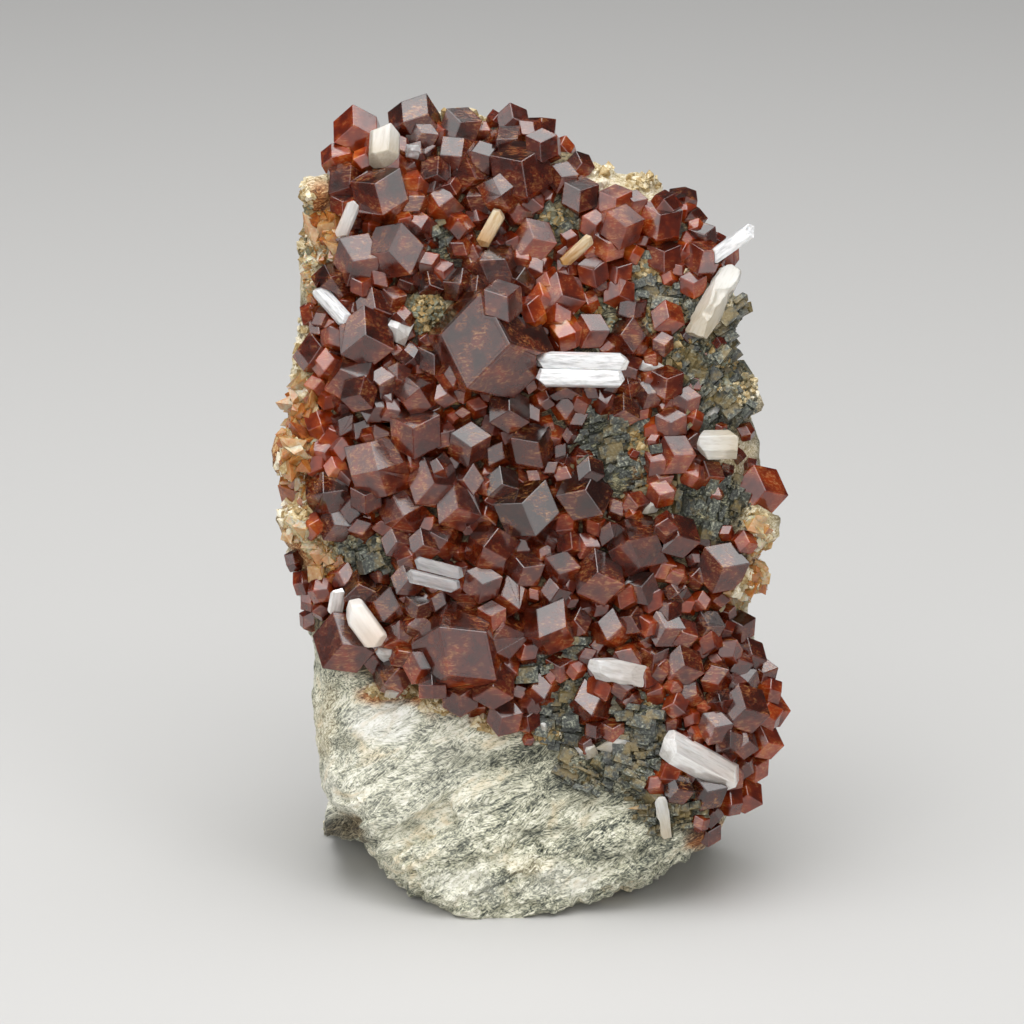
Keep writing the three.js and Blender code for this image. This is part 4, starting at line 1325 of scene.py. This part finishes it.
@dataclass
class ChloritePlates:
    """Stacks of chlorite blocks in the hollows between the garnets, dusted with grains."""

    face: FaceFrame
    rock: FaceSurface
    seed: int = 53
    blocks: int = 820
    grains: int = 3600
    block_sizes: Span = (0.8, 2.9)
    grain_sizes: Span = (0.22, 0.8)
    size_lean: Span = (1.2, 2.6)
    rim_size: float = 0.4
    thickness: Span = (0.35, 0.8)
    depth: Span = (0.5, 0.9)
    shapes: int = 8
    unevenness: float = 0.1
    spread: float = 1.3
    crowding: float = 0.6
    right_side: float = 15.0
    right_slope_deg: float = 48.0
    slopes_deg: Span = (-15.0, 25.0)
    stack_tilt: float = 0.22
    block_tilt: float = 0.1
    in_stack: float = 0.92
    sunk: Span = (-0.2, 0.2)
    heaped: Span = (0.0, 0.3)
    tones: Span = (0.0, 0.7)

    def build(self) -> bpy.types.Object:
        """Builds all the blocks and grains as one piece."""
        random = np.random.default_rng(self.seed)
        heap = Heap(self.face)
        shapes = [broken_shape(box_corners(), self.unevenness, random) for _ in range(self.shapes)]
        patches = [patch for patch in PATCHES[Zone.GREEN] if patch.strength == 1.0]
        areas = np.array([patch.half_across * patch.half_up for patch in patches])
        for patch, share in zip(patches, areas / areas.sum()):
            right = patch.across > self.right_side
            slope = self.right_slope_deg if right else random.uniform(*self.slopes_deg)
            stack = roll(slope) @ small_turn(random, self.stack_tilt)
            self.fill(heap, shapes, patch, stack, int(share * self.blocks), self.block_sizes, random)
            self.fill(heap, shapes, patch, stack, int(share * self.grains), self.grain_sizes, random)
        return add_piece("chlorite_plates", heap.mesh(), ChloriteFinish().make())

    def fill(
        self,
        heap: Heap,
        shapes: list[CrystalShape],
        patch: Patch,
        stack: np.ndarray,
        count: int,
        sizes: Span,
        random: np.random.Generator,
    ) -> None:
        """Fills one hollow with blocks that mostly lie the same way.

        Args:
            heap: Where the blocks go.
            shapes: The shapes to choose from.
            patch: The hollow.
            stack: How most of its blocks are turned.
            count: How many blocks to try.
            sizes: Smallest and largest width.
            random: The source of their places, sizes and tilts.
        """
        smallest, largest = sizes
        for _ in range(count):
            reach = self.spread * random.random() ** self.crowding
            angle = random.uniform(0.0, math.tau)
            across, up = patch.spot(reach, angle)
            level = self.rock.level(across, up)
            if level is None:
                continue
            share = random.beta(*self.size_lean) * (1.0 - self.rim_size * reach)
            width = smallest + (largest - smallest) * share
            sides = width * np.array([1.0, random.uniform(*self.thickness), random.uniform(*self.depth)])
            if random.random() < self.in_stack:
                turn = stack @ small_turn(random, self.block_tilt)
            else:
                turn = random_turn(random)
            out = level + random.uniform(*self.sunk) * width + random.uniform(*self.heaped)
            shape = shapes[random.integers(len(shapes))]
            heap.add(shape, turn, sides, np.array([across, up, out]), random.uniform(*self.tones))


class PrismShape(Enum):
    """How a prism has kept its shape: grown alone or side by side, cleft, worn round, or splintered."""

    SHARP = "sharp"
    TWIN = "twin"
    BLOCKY = "blocky"
    ROUNDED = "rounded"
    BROKEN = "broken"


# How each prism looks. One that isn't listed is milky and sharp.
PRISM_LOOKS: dict[str, tuple[PrismKind, PrismShape]] = {
    "diopside_pair_upper": (PrismKind.WHITE, PrismShape.TWIN),
    "diopside_pair_lower": (PrismKind.WHITE, PrismShape.TWIN),
    "diopside_left": (PrismKind.WHITE, PrismShape.SHARP),
    "diopside_right_tip": (PrismKind.WHITE, PrismShape.SHARP),
    "diopside_clear_upper": (PrismKind.CLEAR, PrismShape.TWIN),
    "diopside_clear_lower": (PrismKind.CLEAR, PrismShape.TWIN),
    "diopside_crown": (PrismKind.CREAM, PrismShape.ROUNDED),
    "diopside_right_stout": (PrismKind.CREAM, PrismShape.BROKEN),
    "diopside_right_block": (PrismKind.CREAM, PrismShape.BLOCKY),
    "diopside_lower_left": (PrismKind.CHINA, PrismShape.ROUNDED),
    "diopside_lower_fan": (PrismKind.MILKY, PrismShape.BROKEN),
    "diopside_long": (PrismKind.MILKY, PrismShape.ROUNDED),
    "diopside_blade": (PrismKind.CREAM, PrismShape.BROKEN),
    "diopside_tan_right": (PrismKind.TAN, PrismShape.SHARP),
    "diopside_tan_centre": (PrismKind.TAN, PrismShape.SHARP),
}


@dataclass(frozen=True)
class PrismCut:
    """The make of a grown prism.

    Attributes:
        sides: How many flat sides it has.
        least_reach: How far out the innermost edge may lie, as a share of the half width.
        rounding: Width of the cut along its edges.
        round_steps: How many faces that cut has.
        swell: How far it stands off its solid.
        end_slant_deg: Least and most slant of its end faces.
    """

    sides: int
    least_reach: float
    rounding: float
    round_steps: int = 1
    swell: float = 0.12
    end_slant_deg: Span = (28.0, 55.0)


PRISM_CUTS: dict[PrismShape, PrismCut] = {
    PrismShape.SHARP: PrismCut(11, 0.8, 0.03),
    PrismShape.TWIN: PrismCut(11, 0.8, 0.03, swell=0.24),
    PrismShape.BLOCKY: PrismCut(7, 0.74, 0.08, end_slant_deg=(14.0, 40.0)),
    PrismShape.ROUNDED: PrismCut(8, 0.93, 0.45, round_steps=4),
}


def set_prism_axes(mesh: bpy.types.Mesh) -> None:
    """Stores a prism's own axes, its length last, and how high up it each point is, for its finish.

    Args:
        mesh: The prism, which gets the values.
    """
    points = mesh_points(mesh) / MM
    middle = points.mean(axis=0)
    axes = np.linalg.svd(points - middle, full_matrices=False)[2]
    axes[0] *= 1.0 if axes[0, 2] > 0.0 else -1.0
    own = (points - middle) @ axes.T
    set_attribute(mesh, "prism", "POINT", own[:, [1, 2, 0]] + middle.sum())
    set_attribute(mesh, "height", "POINT", (own[:, 0] - own[:, 0].min()) / np.ptp(own[:, 0]))


def prism_box(points: np.ndarray) -> tuple[np.ndarray, np.ndarray, np.ndarray]:
    """Measures a prism along its own axes.

    Args:
        points: Its corners, one row each.

    Returns:
        Its middle, its axes with its length first, and half its size along each.
    """
    axes = np.linalg.svd(points - points.mean(axis=0), full_matrices=False)[2]
    own = points @ axes.T
    low, high = own.min(axis=0), own.max(axis=0)
    return 0.5 * (low + high) @ axes, axes, 0.5 * (high - low)


@dataclass
class DiopsidePrisms:
    """The diopside prisms: striped by growth with slanting ends, broken all round, or with rounded edges."""

    edge_jitter: float = 0.25
    squareness: float = 0.7
    tip_offset: float = 0.3
    end_planes: int = 3
    touch: float = 1e-5
    weld: float = 1e-4
    swell: float = 0.12
    voxel: float = 0.12
    groove_wide: float = 0.7
    groove_long: float = 5.0
    groove_deep: float = 0.06
    lump_size: float = 1.2
    lump_high: float = 0.32
    uneven: float = 0.4
    uneven_long: float = 2.4
    breaks: int = 18
    break_depth: Span = (0.04, 0.3)

    def build(self, nodes: Iterable[bpy.types.Object]) -> list[bpy.types.Object]:
        """Builds a dressed copy of each prism.

        Args:
            nodes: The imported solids.

        Returns:
            The pieces that stand for them.
        """
        materials = {kind: DiopsideFinish(kind).make() for kind in PrismKind}
        pieces = []
        for seed, node in enumerate(nodes):
            kind, shape = PRISM_LOOKS.get(node.name, (PrismKind.MILKY, PrismShape.SHARP))
            if shape is PrismShape.BROKEN:
                mesh = self.broken_mesh(node.data, seed)
            else:
                mesh = self.grown_mesh(node.data, PRISM_CUTS[shape], seed)
            set_prism_axes(mesh)
            piece = add_piece(f"{node.name}_prism", mesh, materials[kind])
            pieces.append(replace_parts(piece, node.name))
        return pieces

    def grown_mesh(self, solid: bpy.types.Mesh, cut: PrismCut, seed: int) -> bpy.types.Mesh:
        """Makes a prism as it grew, in the place of a plain one.

        Args:
            solid: The plain prism.
            cut: How it is made.
            seed: The number that its unevenness is drawn from.

        Returns:
            The dressed prism.
        """
        random = np.random.default_rng(seed)
        middle, axes, half = prism_box(mesh_points(solid) / MM)
        half = half + cut.swell
        shape = self.square_ended(half, cut, random)
        self.slant_ends(shape, half, cut, random)
        bmesh.ops.recalc_face_normals(shape, faces=shape.faces)
        bmesh.ops.bevel(
            shape,
            geom=list(shape.edges),
            offset=cut.rounding,
            segments=cut.round_steps,
            profile=0.5,
            affect="EDGES",
            clamp_overlap=True,
        )
        bmesh.ops.remove_doubles(shape, verts=shape.verts, dist=self.weld)
        for v in shape.verts:
            v.co = (np.array(v.co) @ axes + middle) * MM
        for f in shape.faces:
            f.smooth = cut.round_steps > 1
        bmesh.ops.recalc_face_normals(shape, faces=shape.faces)
        return finished_mesh(shape)

    def bulged(self, share: float) -> float:
        """Pushes a sine or cosine outwards, which makes an oval squarer."""
        return math.copysign(abs(share) ** self.squareness, share)

    def square_ended(
        self, half: np.ndarray, cut: PrismCut, random: np.random.Generator
    ) -> bmesh.types.BMesh:
        """Makes a prism with uneven sides and square ends.

        Args:
            half: Half its size along its own axes.
            cut: How it is made.
            random: The source of its unevenness.

        Returns:
            The prism, in millimetres along its own axes.
        """
        shape = bmesh.new()
        rings: list[list[bmesh.types.BMVert]] = [[], []]
        for k in range(cut.sides):
            angle = math.tau * (k + random.uniform(-self.edge_jitter, self.edge_jitter)) / cut.sides
            reach = random.uniform(cut.least_reach, 1.0)
            side = reach * half[1] * self.bulged(math.cos(angle))
            top = reach * half[2] * self.bulged(math.sin(angle))
            for ring, end in zip(rings, (-half[0], half[0])):
                ring.append(shape.verts.new((end, side, top)))
        for k in range(cut.sides):
            after = (k + 1) % cut.sides
            shape.faces.new((rings[0][k], rings[0][after], rings[1][after], rings[1][k]))
        for ring in rings:
            shape.faces.new(ring)
        return shape

    def slant_ends(
        self, shape: bmesh.types.BMesh, half: np.ndarray, cut: PrismCut, random: np.random.Generator
    ) -> None:
        """Cuts both ends of a prism to slanting faces, in place.

        Args:
            shape: The prism.
            half: Half its size along its own axes.
            cut: How it is made.
            random: The source of the slants.
        """
        for end in (-1.0, 1.0):
            aside, above = self.tip_offset * half[1:] * random.uniform(-1.0, 1.0, 2)
            tip = (end * half[0], aside, above)
            start = random.uniform(0.0, math.tau)
            for k in range(self.end_planes):
                lean = math.radians(random.uniform(*cut.end_slant_deg))
                way = start + math.tau * k / self.end_planes
                flare = math.sin(lean)
                normal = (end * math.cos(lean), flare * math.cos(way), flare * math.sin(way))
                geometry = [*shape.verts, *shape.edges, *shape.faces]
                ends = bmesh.ops.bisect_plane(
                    shape, geom=geometry, plane_co=tip, plane_no=normal, clear_outer=True, dist=self.touch
                )
                edges = [part for part in ends["geom_cut"] if isinstance(part, bmesh.types.BMEdge)]
                bmesh.ops.edgeloop_fill(shape, edges=edges)

    def broken_mesh(self, solid: bpy.types.Mesh, seed: int) -> bpy.types.Mesh:
        """Copies a prism finely, lumpy and broken all round.

        Args:
            solid: The plain prism.
            seed: The number that its unevenness is drawn from.

        Returns:
            The dressed copy.
        """
        mesh = even_mesh(solid, self.voxel)
        points = mesh_points(mesh) / MM
        middle, axes, half = prism_box(points)
        own = (points - middle) @ axes.T
        noise = RockNoise(seed)
        grooved = own / np.array([self.groove_long, self.groove_wide, self.groove_wide])
        rise = self.groove_deep * noise.at(grooved) + self.lump_high * noise.at(own / self.lump_size)
        moved = own + mesh_normals(mesh) @ axes.T * (self.swell + rise[:, None])
        lengthwise = own / self.uneven_long * np.array([1.0, 0.0, 0.0])
        moved[:, 1:] *= 1.0 + self.uneven * noise.at(lengthwise)[:, None]
        self.break_off(moved, half, np.random.default_rng(seed))
        mesh.vertices.foreach_set("co", ((moved @ axes + middle) * MM).ravel())
        mesh.polygons.foreach_set("use_smooth", np.zeros(len(mesh.polygons), dtype=bool))
        mesh.update()
        return mesh

    def break_off(self, own: np.ndarray, half: np.ndarray, random: np.random.Generator) -> None:
        """Presses points onto flat breaks all round, in place.

        Args:
            own: Points along the prism's own axes.
            half: Half its size along them.
            random: The source of the breaks' directions and depths.
        """
        for _ in range(self.breaks):
            normal = random.normal(size=3) / half
            normal /= np.linalg.norm(normal)
            support = (own @ normal).max()
            over = own @ normal - support * (1.0 - random.uniform(*self.break_depth))
            own -= np.maximum(over, 0.0)[:, None] * normal


class CrumbKind(Enum):
    """What a crumb is broken from: weathered rock, or massive garnet at the crust's rims."""

    ROCK = "rock_crumbs"
    GARNET = "rim_garnet"


@dataclass(frozen=True)
class CrumbFinish:
    """Weathered crumbs: dull cream, ochre and olive grains of rock, or crazed cream to orange garnet.

    Rock crumbs are stained by iron. Massive garnet broke through its body, so it is glassy but has no growth
    faces.
    """

    name: str
    grain: float
    stops: Stops
    roughness: float
    ior: float
    inside: LightInside
    contrast: float = 1.1
    darken: float = 0.55
    relief: float = 0.12

    def make(self) -> bpy.types.Material:
        """Makes the material."""
        material, add, shader = new_material(self.name)
        place = add("TexCoord", out="Object")
        tone = add("Attribute", {"attribute_name": "tone"}, out="Fac")
        fine = {"Scale": per_mm(self.grain), "Detail": 4.0, "Roughness": 0.7}
        grains = add("TexNoise", fine, {"Vector": place})
        contrast = {"operation": "MULTIPLY_ADD", 1: self.contrast, 2: -self.darken}
        spread = add("Math", contrast, {0: grains})
        drive = add("Math", {"operation": "ADD"}, {0: tone, 1: spread})
        colour = add("ValToRGB", links={"Fac": drive}, stops=self.stops)
        relief = add("Bump", {"Strength": 0.6, "Distance": self.relief * MM}, {"Height": grains})
        values = {"Roughness": self.roughness, "IOR": self.ior, **self.inside.settings()}
        set_inputs(shader, values, {"Base Color": colour, "Normal": relief})
        return material


CRUMB_FINISHES: dict[CrumbKind, CrumbFinish] = {
    CrumbKind.ROCK: CrumbFinish(
        "weathered_crumbs",
        0.4,
        ((0.0, "#efe8d4"), (0.3, "#c9b78c"), (0.55, "#98783f"), (0.75, "#6b6446"), (1.0, "#7e8474")),
        0.6,
        1.6,
        LightInside(0.0, 0.0, (1.0, 0.5, 0.25), 0.8),
    ),
    CrumbKind.GARNET: CrumbFinish(
        "massive_garnet",
        0.9,
        ((0.0, "#e6d6b4"), (0.3, "#d0a064"), (0.55, "#bf7630"), (0.8, "#a0511e"), (1.0, "#743416")),
        0.14,
        1.74,
        LightInside(0.3, 0.5, (1.0, 0.5, 0.25), 0.8),
    ),
}


@dataclass(frozen=True)
class CrumbPatch:
    """An area strewn with crumbs: how many, how high they pile up, their tones, largest size and kind."""

    area: Patch
    count: int
    pile: float
    tone_low: float
    tone_high: float
    largest: float = 1.1
    kind: CrumbKind = CrumbKind.ROCK


CRUMB_PATCHES = (
    CrumbPatch(Patch(-11.8, 66.2, 2.0, 2.3), 700, 1.9, 0.45, 0.95, 0.6),
    CrumbPatch(Patch(13.6, 66.5, 2.4, 3.2), 200, 0.5, 0.2, 0.95),
    CrumbPatch(Patch(17.5, 62.0, 2.6, 3.2), 200, 0.5, 0.3, 1.0),
    CrumbPatch(Patch(20.6, 58.4, 2.4, 3.2), 180, 0.5, 0.2, 1.0),
    CrumbPatch(Patch(12.6, 70.4, 1.6, 1.4), 70, 0.4, 0.2, 0.8),
    CrumbPatch(Patch(15.5, 70.5, 1.6, 1.2), 70, 0.4, 0.0, 0.6),
    CrumbPatch(Patch(22.6, 57.4, 1.6, 2.6), 60, 0.2, 0.0, 0.5, 0.8),
    CrumbPatch(Patch(24.4, 41.6, 1.8, 4.2), 80, 0.2, 0.0, 0.6, 0.8),
    CrumbPatch(Patch(22.4, 36.2, 1.8, 2.4), 90, 0.4, 0.0, 0.5),
    CrumbPatch(Patch(7.0, 81.2, 2.2, 1.2), 26, 0.2, 0.0, 0.5),
    CrumbPatch(Patch(11.6, 80.2, 2.2, 1.2), 26, 0.2, 0.0, 0.5),
    CrumbPatch(Patch(-8.0, 87.2, 2.2, 1.2), 70, 0.3, 0.1, 0.9),
    CrumbPatch(Patch(-26.4, 48.0, 1.8, 6.0), 260, 0.4, 0.0, 0.6),
    CrumbPatch(Patch(-25.4, 60.0, 1.2, 6.0), 160, 0.3, 0.0, 0.6),
    CrumbPatch(Patch(-25.2, 76.0, 1.2, 4.4), 140, 0.3, 0.1, 0.9),
    CrumbPatch(Patch(-23.6, 42.6, 2.2, 3.0), 160, 0.5, 0.1, 0.7),
    CrumbPatch(Patch(-15.0, 25.2, 3.4, 0.9), 110, 0.3, 0.1, 0.65),
    CrumbPatch(Patch(-9.6, 23.6, 3.0, 0.9), 110, 0.3, 0.1, 0.65),
    CrumbPatch(Patch(-4.4, 21.6, 2.4, 0.8), 80, 0.3, 0.1, 0.7),
    CrumbPatch(Patch(1.0, 20.4, 2.2, 0.7), 60, 0.3, 0.1, 0.8),
    CrumbPatch(Patch(11.0, 24.2, 1.9, 1.0), 70, 0.4, 0.1, 0.9),
    CrumbPatch(Patch(2.4, 76.0, 2.4, 1.4), 70, 0.4, 0.4, 1.0),
    CrumbPatch(Patch(11.4, 52.6, 1.6, 1.8), 70, 0.4, 0.4, 0.9),
    CrumbPatch(Patch(-9.6, 57.6, 1.4, 1.2), 50, 0.3, 0.3, 0.9),
    CrumbPatch(Patch(-17.4, 42.4, 1.8, 1.0), 60, 0.3, 0.2, 0.9),
    CrumbPatch(Patch(9.6, 66.8, 6.0, 6.0), 420, 0.4, 0.3, 1.0, 0.9),
    CrumbPatch(Patch(-25.4, 51.5, 2.1, 6.8), 190, 0.4, 0.15, 0.85, 2.4, CrumbKind.GARNET),
    CrumbPatch(Patch(-22.8, 74.6, 1.6, 3.0), 60, 0.4, 0.1, 0.75, 2.2, CrumbKind.GARNET),
    CrumbPatch(Patch(-24.6, 71.0, 0.9, 4.0), 40, 0.3, 0.0, 0.3, 1.4, CrumbKind.GARNET),
    CrumbPatch(Patch(-24.4, 66.0, 0.9, 1.8), 14, 0.3, 0.4, 0.9, 1.8, CrumbKind.GARNET),
    CrumbPatch(Patch(-22.6, 39.0, 1.6, 2.6), 44, 0.4, 0.1, 0.7, 2.0, CrumbKind.GARNET),
    CrumbPatch(Patch(-25.0, 42.4, 2.0, 1.8), 50, 0.4, 0.0, 0.4, 2.0, CrumbKind.GARNET),
    CrumbPatch(Patch(24.2, 39.6, 1.4, 4.6), 80, 0.3, 0.0, 0.6, 1.8, CrumbKind.GARNET),
    CrumbPatch(Patch(21.2, 35.0, 1.8, 1.4), 40, 0.3, 0.0, 0.6, 1.8, CrumbKind.GARNET),
    CrumbPatch(Patch(13.0, 47.4, 1.8, 1.6), 16, 0.3, 0.3, 0.8, 1.6, CrumbKind.GARNET),
)


@dataclass
class RockCrumbs:
    """Crumbs of weathered rock and massive garnet between the crystals and along the broken rims."""

    face: FaceFrame
    rock: FaceSurface
    seed: int = 61
    shapes: int = 10
    unevenness: float = 0.3
    smallest: float = 0.22
    size_lean: Span = (1.2, 3.0)
    stretch: Span = (0.7, 1.2)
    rim_level: float = -9.0

    def build(self) -> list[bpy.types.Object]:
        """Builds the crumbs as one piece of each kind."""
        random = np.random.default_rng(self.seed)
        shapes = [broken_shape(box_corners(), self.unevenness, random) for _ in range(self.shapes)]
        pieces = []
        for kind in CrumbKind:
            heap = Heap(self.face)
            for patch in CRUMB_PATCHES:
                if patch.kind is kind:
                    self.strew(heap, shapes, patch, random)
            material = CRUMB_FINISHES[kind].make()
            pieces.append(add_piece(kind.value, heap.mesh(), material))
        return pieces

    def strew(
        self, heap: Heap, shapes: list[CrystalShape], patch: CrumbPatch, random: np.random.Generator
    ) -> None:
        """Strews one area.

        Args:
            heap: Where the crumbs go.
            shapes: The shapes to choose from.
            patch: The area.
            random: The source of their places, sizes, turns and tones.
        """
        for _ in range(patch.count):
            reach, angle = math.sqrt(random.random()), random.uniform(0.0, math.tau)
            across, up = patch.area.spot(reach, angle)
            width = self.smallest + (patch.largest - self.smallest) * random.beta(*self.size_lean)
            high = patch.pile * (1.0 - reach * reach) * random.random()
            tone = random.uniform(patch.tone_low, patch.tone_high)
            level = self.rock.level(across, up)
            if level is None or level < self.rim_level:
                continue
            shape = shapes[random.integers(len(shapes))]
            sides = width * random.uniform(*self.stretch, 3)
            heap.add(shape, random_turn(random), sides, np.array([across, up, level + high]), tone)


@dataclass(frozen=True)
class Chip:
    """A chip of diopside: where it sits, its size along its own axes, its slant and its look."""

    name: str
    across: float
    up: float
    size: Triple
    slant_deg: float
    kind: PrismKind


CHIPS = (
    Chip("milky_knob", -14.8, 64.2, (2.4, 2.6, 2.4), 20.0, PrismKind.MILKY),
    Chip("clear_grain", -13.4, 83.8, (1.5, 1.4, 1.3), 35.0, PrismKind.CLEAR),
    Chip("cream_chip", 8.8, 19.2, (3.2, 1.7, 1.2), 8.0, PrismKind.CREAM),
    Chip("tan_chip", 5.5, 18.7, (2.2, 1.8, 1.4), -15.0, PrismKind.CREAM),
    Chip("edge_chip", -15.7, 25.0, (1.5, 1.1, 1.0), 30.0, PrismKind.CREAM),
    Chip("pale_chip", 0.9, 21.2, (1.1, 1.5, 1.0), 10.0, PrismKind.CREAM),
    Chip("fuzzy_chip", -2.7, 27.2, (1.2, 1.9, 1.0), -20.0, PrismKind.CREAM),
    Chip("white_splinter", 9.5, 29.1, (2.6, 0.6, 0.5), 42.0, PrismKind.MILKY),
    Chip("rusty_bar", 11.6, 12.5, (2.4, 0.5, 0.5), 4.0, PrismKind.TAN),
    Chip("small_prism", 12.2, 60.4, (2.6, 1.3, 1.1), -4.0, PrismKind.MILKY),
    Chip("right_grain", 19.0, 55.2, (2.2, 0.9, 0.8), 38.0, PrismKind.CREAM),
    Chip("middle_chip", 12.4, 45.2, (2.4, 1.2, 1.0), 35.0, PrismKind.CREAM),
    Chip("broken_foot", -16.4, 29.3, (2.6, 1.3, 1.4), -8.0, PrismKind.MILKY),
)


@dataclass
class DiopsideChips:
    """Small chips of diopside that are too small for the solids."""

    face: FaceFrame
    surface: FaceSurface
    seed: int = 71
    sunk: float = 0.1
    unevenness: float = 0.1

    def build(self) -> list[bpy.types.Object]:
        """Builds each chip as its own piece."""
        random = np.random.default_rng(self.seed)
        materials = {kind: DiopsideFinish(kind).make() for kind in PrismKind}
        pieces = []
        for chip in CHIPS:
            heap = Heap(self.face)
            level = self.surface.level(chip.across, chip.up)
            place = np.array([chip.across, chip.up, level + (0.5 - self.sunk) * chip.size[2]])
            shape = broken_shape(dodecahedron_corners(), self.unevenness, random)
            heap.add(shape, roll(chip.slant_deg), np.array(chip.size), place, 0.0)
            mesh = heap.mesh()
            set_prism_axes(mesh)
            pieces.append(add_piece(chip.name, mesh, materials[chip.kind]))
        return pieces


@dataclass(frozen=True)
class Lamp:
    """A soft square lamp: where it hangs and its side, both in metres, and its power in watts."""

    name: str
    place: Triple
    side: float
    power: float


LAMPS = (
    Lamp("overhead", (0.0, -0.04, 0.62), 0.75, 6.2),
    Lamp("front", (-0.2, -0.78, 0.5), 0.9, 3.7),
    Lamp("low", (0.34, -0.68, 0.12), 0.3, 0.3),
    Lamp("right", (0.55, -0.55, 0.42), 0.45, 1.2),
    Lamp("left", (-0.6, -0.15, 0.32), 0.45, 1.2),
)


@dataclass
class Studio:
    """A pale floor, soft lamps and the camera, square to the crystal face."""

    face: FaceFrame
    aim_across: float = -2.61
    aim_up: float = 44.57
    view_width: float = 111.3
    distance: float = 640.0
    sight: Span = (10.0, 10000.0)
    floor_half: float = 900.0
    lit_up: float = 40.0
    sky: str = "#c9ccd0"
    sky_strength: float = 0.12

    def build(self) -> None:
        """Builds the floor, the lamps, the sky and the camera."""
        self.floor()
        for lamp in LAMPS:
            self.hang(lamp)
        scene = bpy.context.scene
        scene.world = bpy.data.worlds.new("studio")
        scene.world.use_nodes = True
        sky = {"Color": srgb(self.sky), "Strength": self.sky_strength}
        set_inputs(scene.world.node_tree.nodes["Background"], sky, {})
        scene.view_settings.view_transform = "Standard"
        self.camera()

    def floor(self) -> None:
        """Lays the pale floor."""
        half = self.floor_half * MM
        mesh = bpy.data.meshes.new("floor")
        corners = [(-half, -half, 0.0), (half, -half, 0.0), (half, half, 0.0), (-half, half, 0.0)]
        mesh.from_pydata(corners, [], [(0, 1, 2, 3)])
        mesh.materials.append(FloorFinish().make())
        floor = bpy.data.objects.new("floor", mesh)
        bpy.context.scene.collection.objects.link(floor)

    def hang(self, lamp: Lamp) -> None:
        """Hangs one lamp so that it points at the specimen.

        Args:
            lamp: The lamp.
        """
        data = bpy.data.lights.new(lamp.name, "AREA")
        data.size = lamp.side
        data.energy = lamp.power
        target = Vector((0.0, 0.0, self.lit_up * MM))
        self.put(bpy.data.objects.new(lamp.name, data), Vector(lamp.place), target)

    def camera(self) -> None:
        """Sets the camera square to the face."""
        data = bpy.data.cameras.new("camera")
        data.lens = data.sensor_width * self.distance / self.view_width
        data.clip_start, data.clip_end = (reach * MM for reach in self.sight)
        aim = [self.aim_across, self.aim_up]
        target, place = self.face.to_model(np.array([[*aim, 0.0], [*aim, self.distance]]))
        camera = bpy.data.objects.new("camera", data)
        self.put(camera, Vector(place), Vector(target))
        bpy.context.scene.camera = camera

    @staticmethod
    def put(thing: bpy.types.Object, place: Vector, target: Vector) -> None:
        """Puts a lamp or camera at a place and points it at another.

        Args:
            thing: The lamp or camera.
            place: Where it goes, in metres.
            target: What it points at, in metres.
        """
        thing.location = place
        thing.rotation_euler = (target - place).to_track_quat("-Z", "Y").to_euler()
        bpy.context.scene.collection.objects.link(thing)


def main() -> None:
    """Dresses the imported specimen, piece by piece."""
    logging.basicConfig(level=logging.INFO, format="%(message)s")
    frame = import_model()
    nodes = frame["nodes"]
    face = FaceFrame()
    garnets = [nodes[name] for name in sorted(nodes) if name.startswith("garnet")]
    prisms = [nodes[name] for name in sorted(nodes) if name.startswith("diopside")]
    garnet = GarnetFinish().make()

    rock = MatrixRock(face).build(nodes["matrix"])
    rock_surface, crust_surface = FaceSurface(face, [rock]), FaceSurface(face, garnets)
    GarnetCrystals(face).build(garnets, garnet)
    SmallGarnets(face, rock_surface, crust_surface).build(garnet)
    ChloritePlates(face, rock_surface).build()
    RockCrumbs(face, rock_surface).build()
    DiopsidePrisms().build(prisms)
    DiopsideChips(face, FaceSurface(face, [rock, *garnets])).build()
    Studio(face).build()


if __name__ == "__main__":
    main()
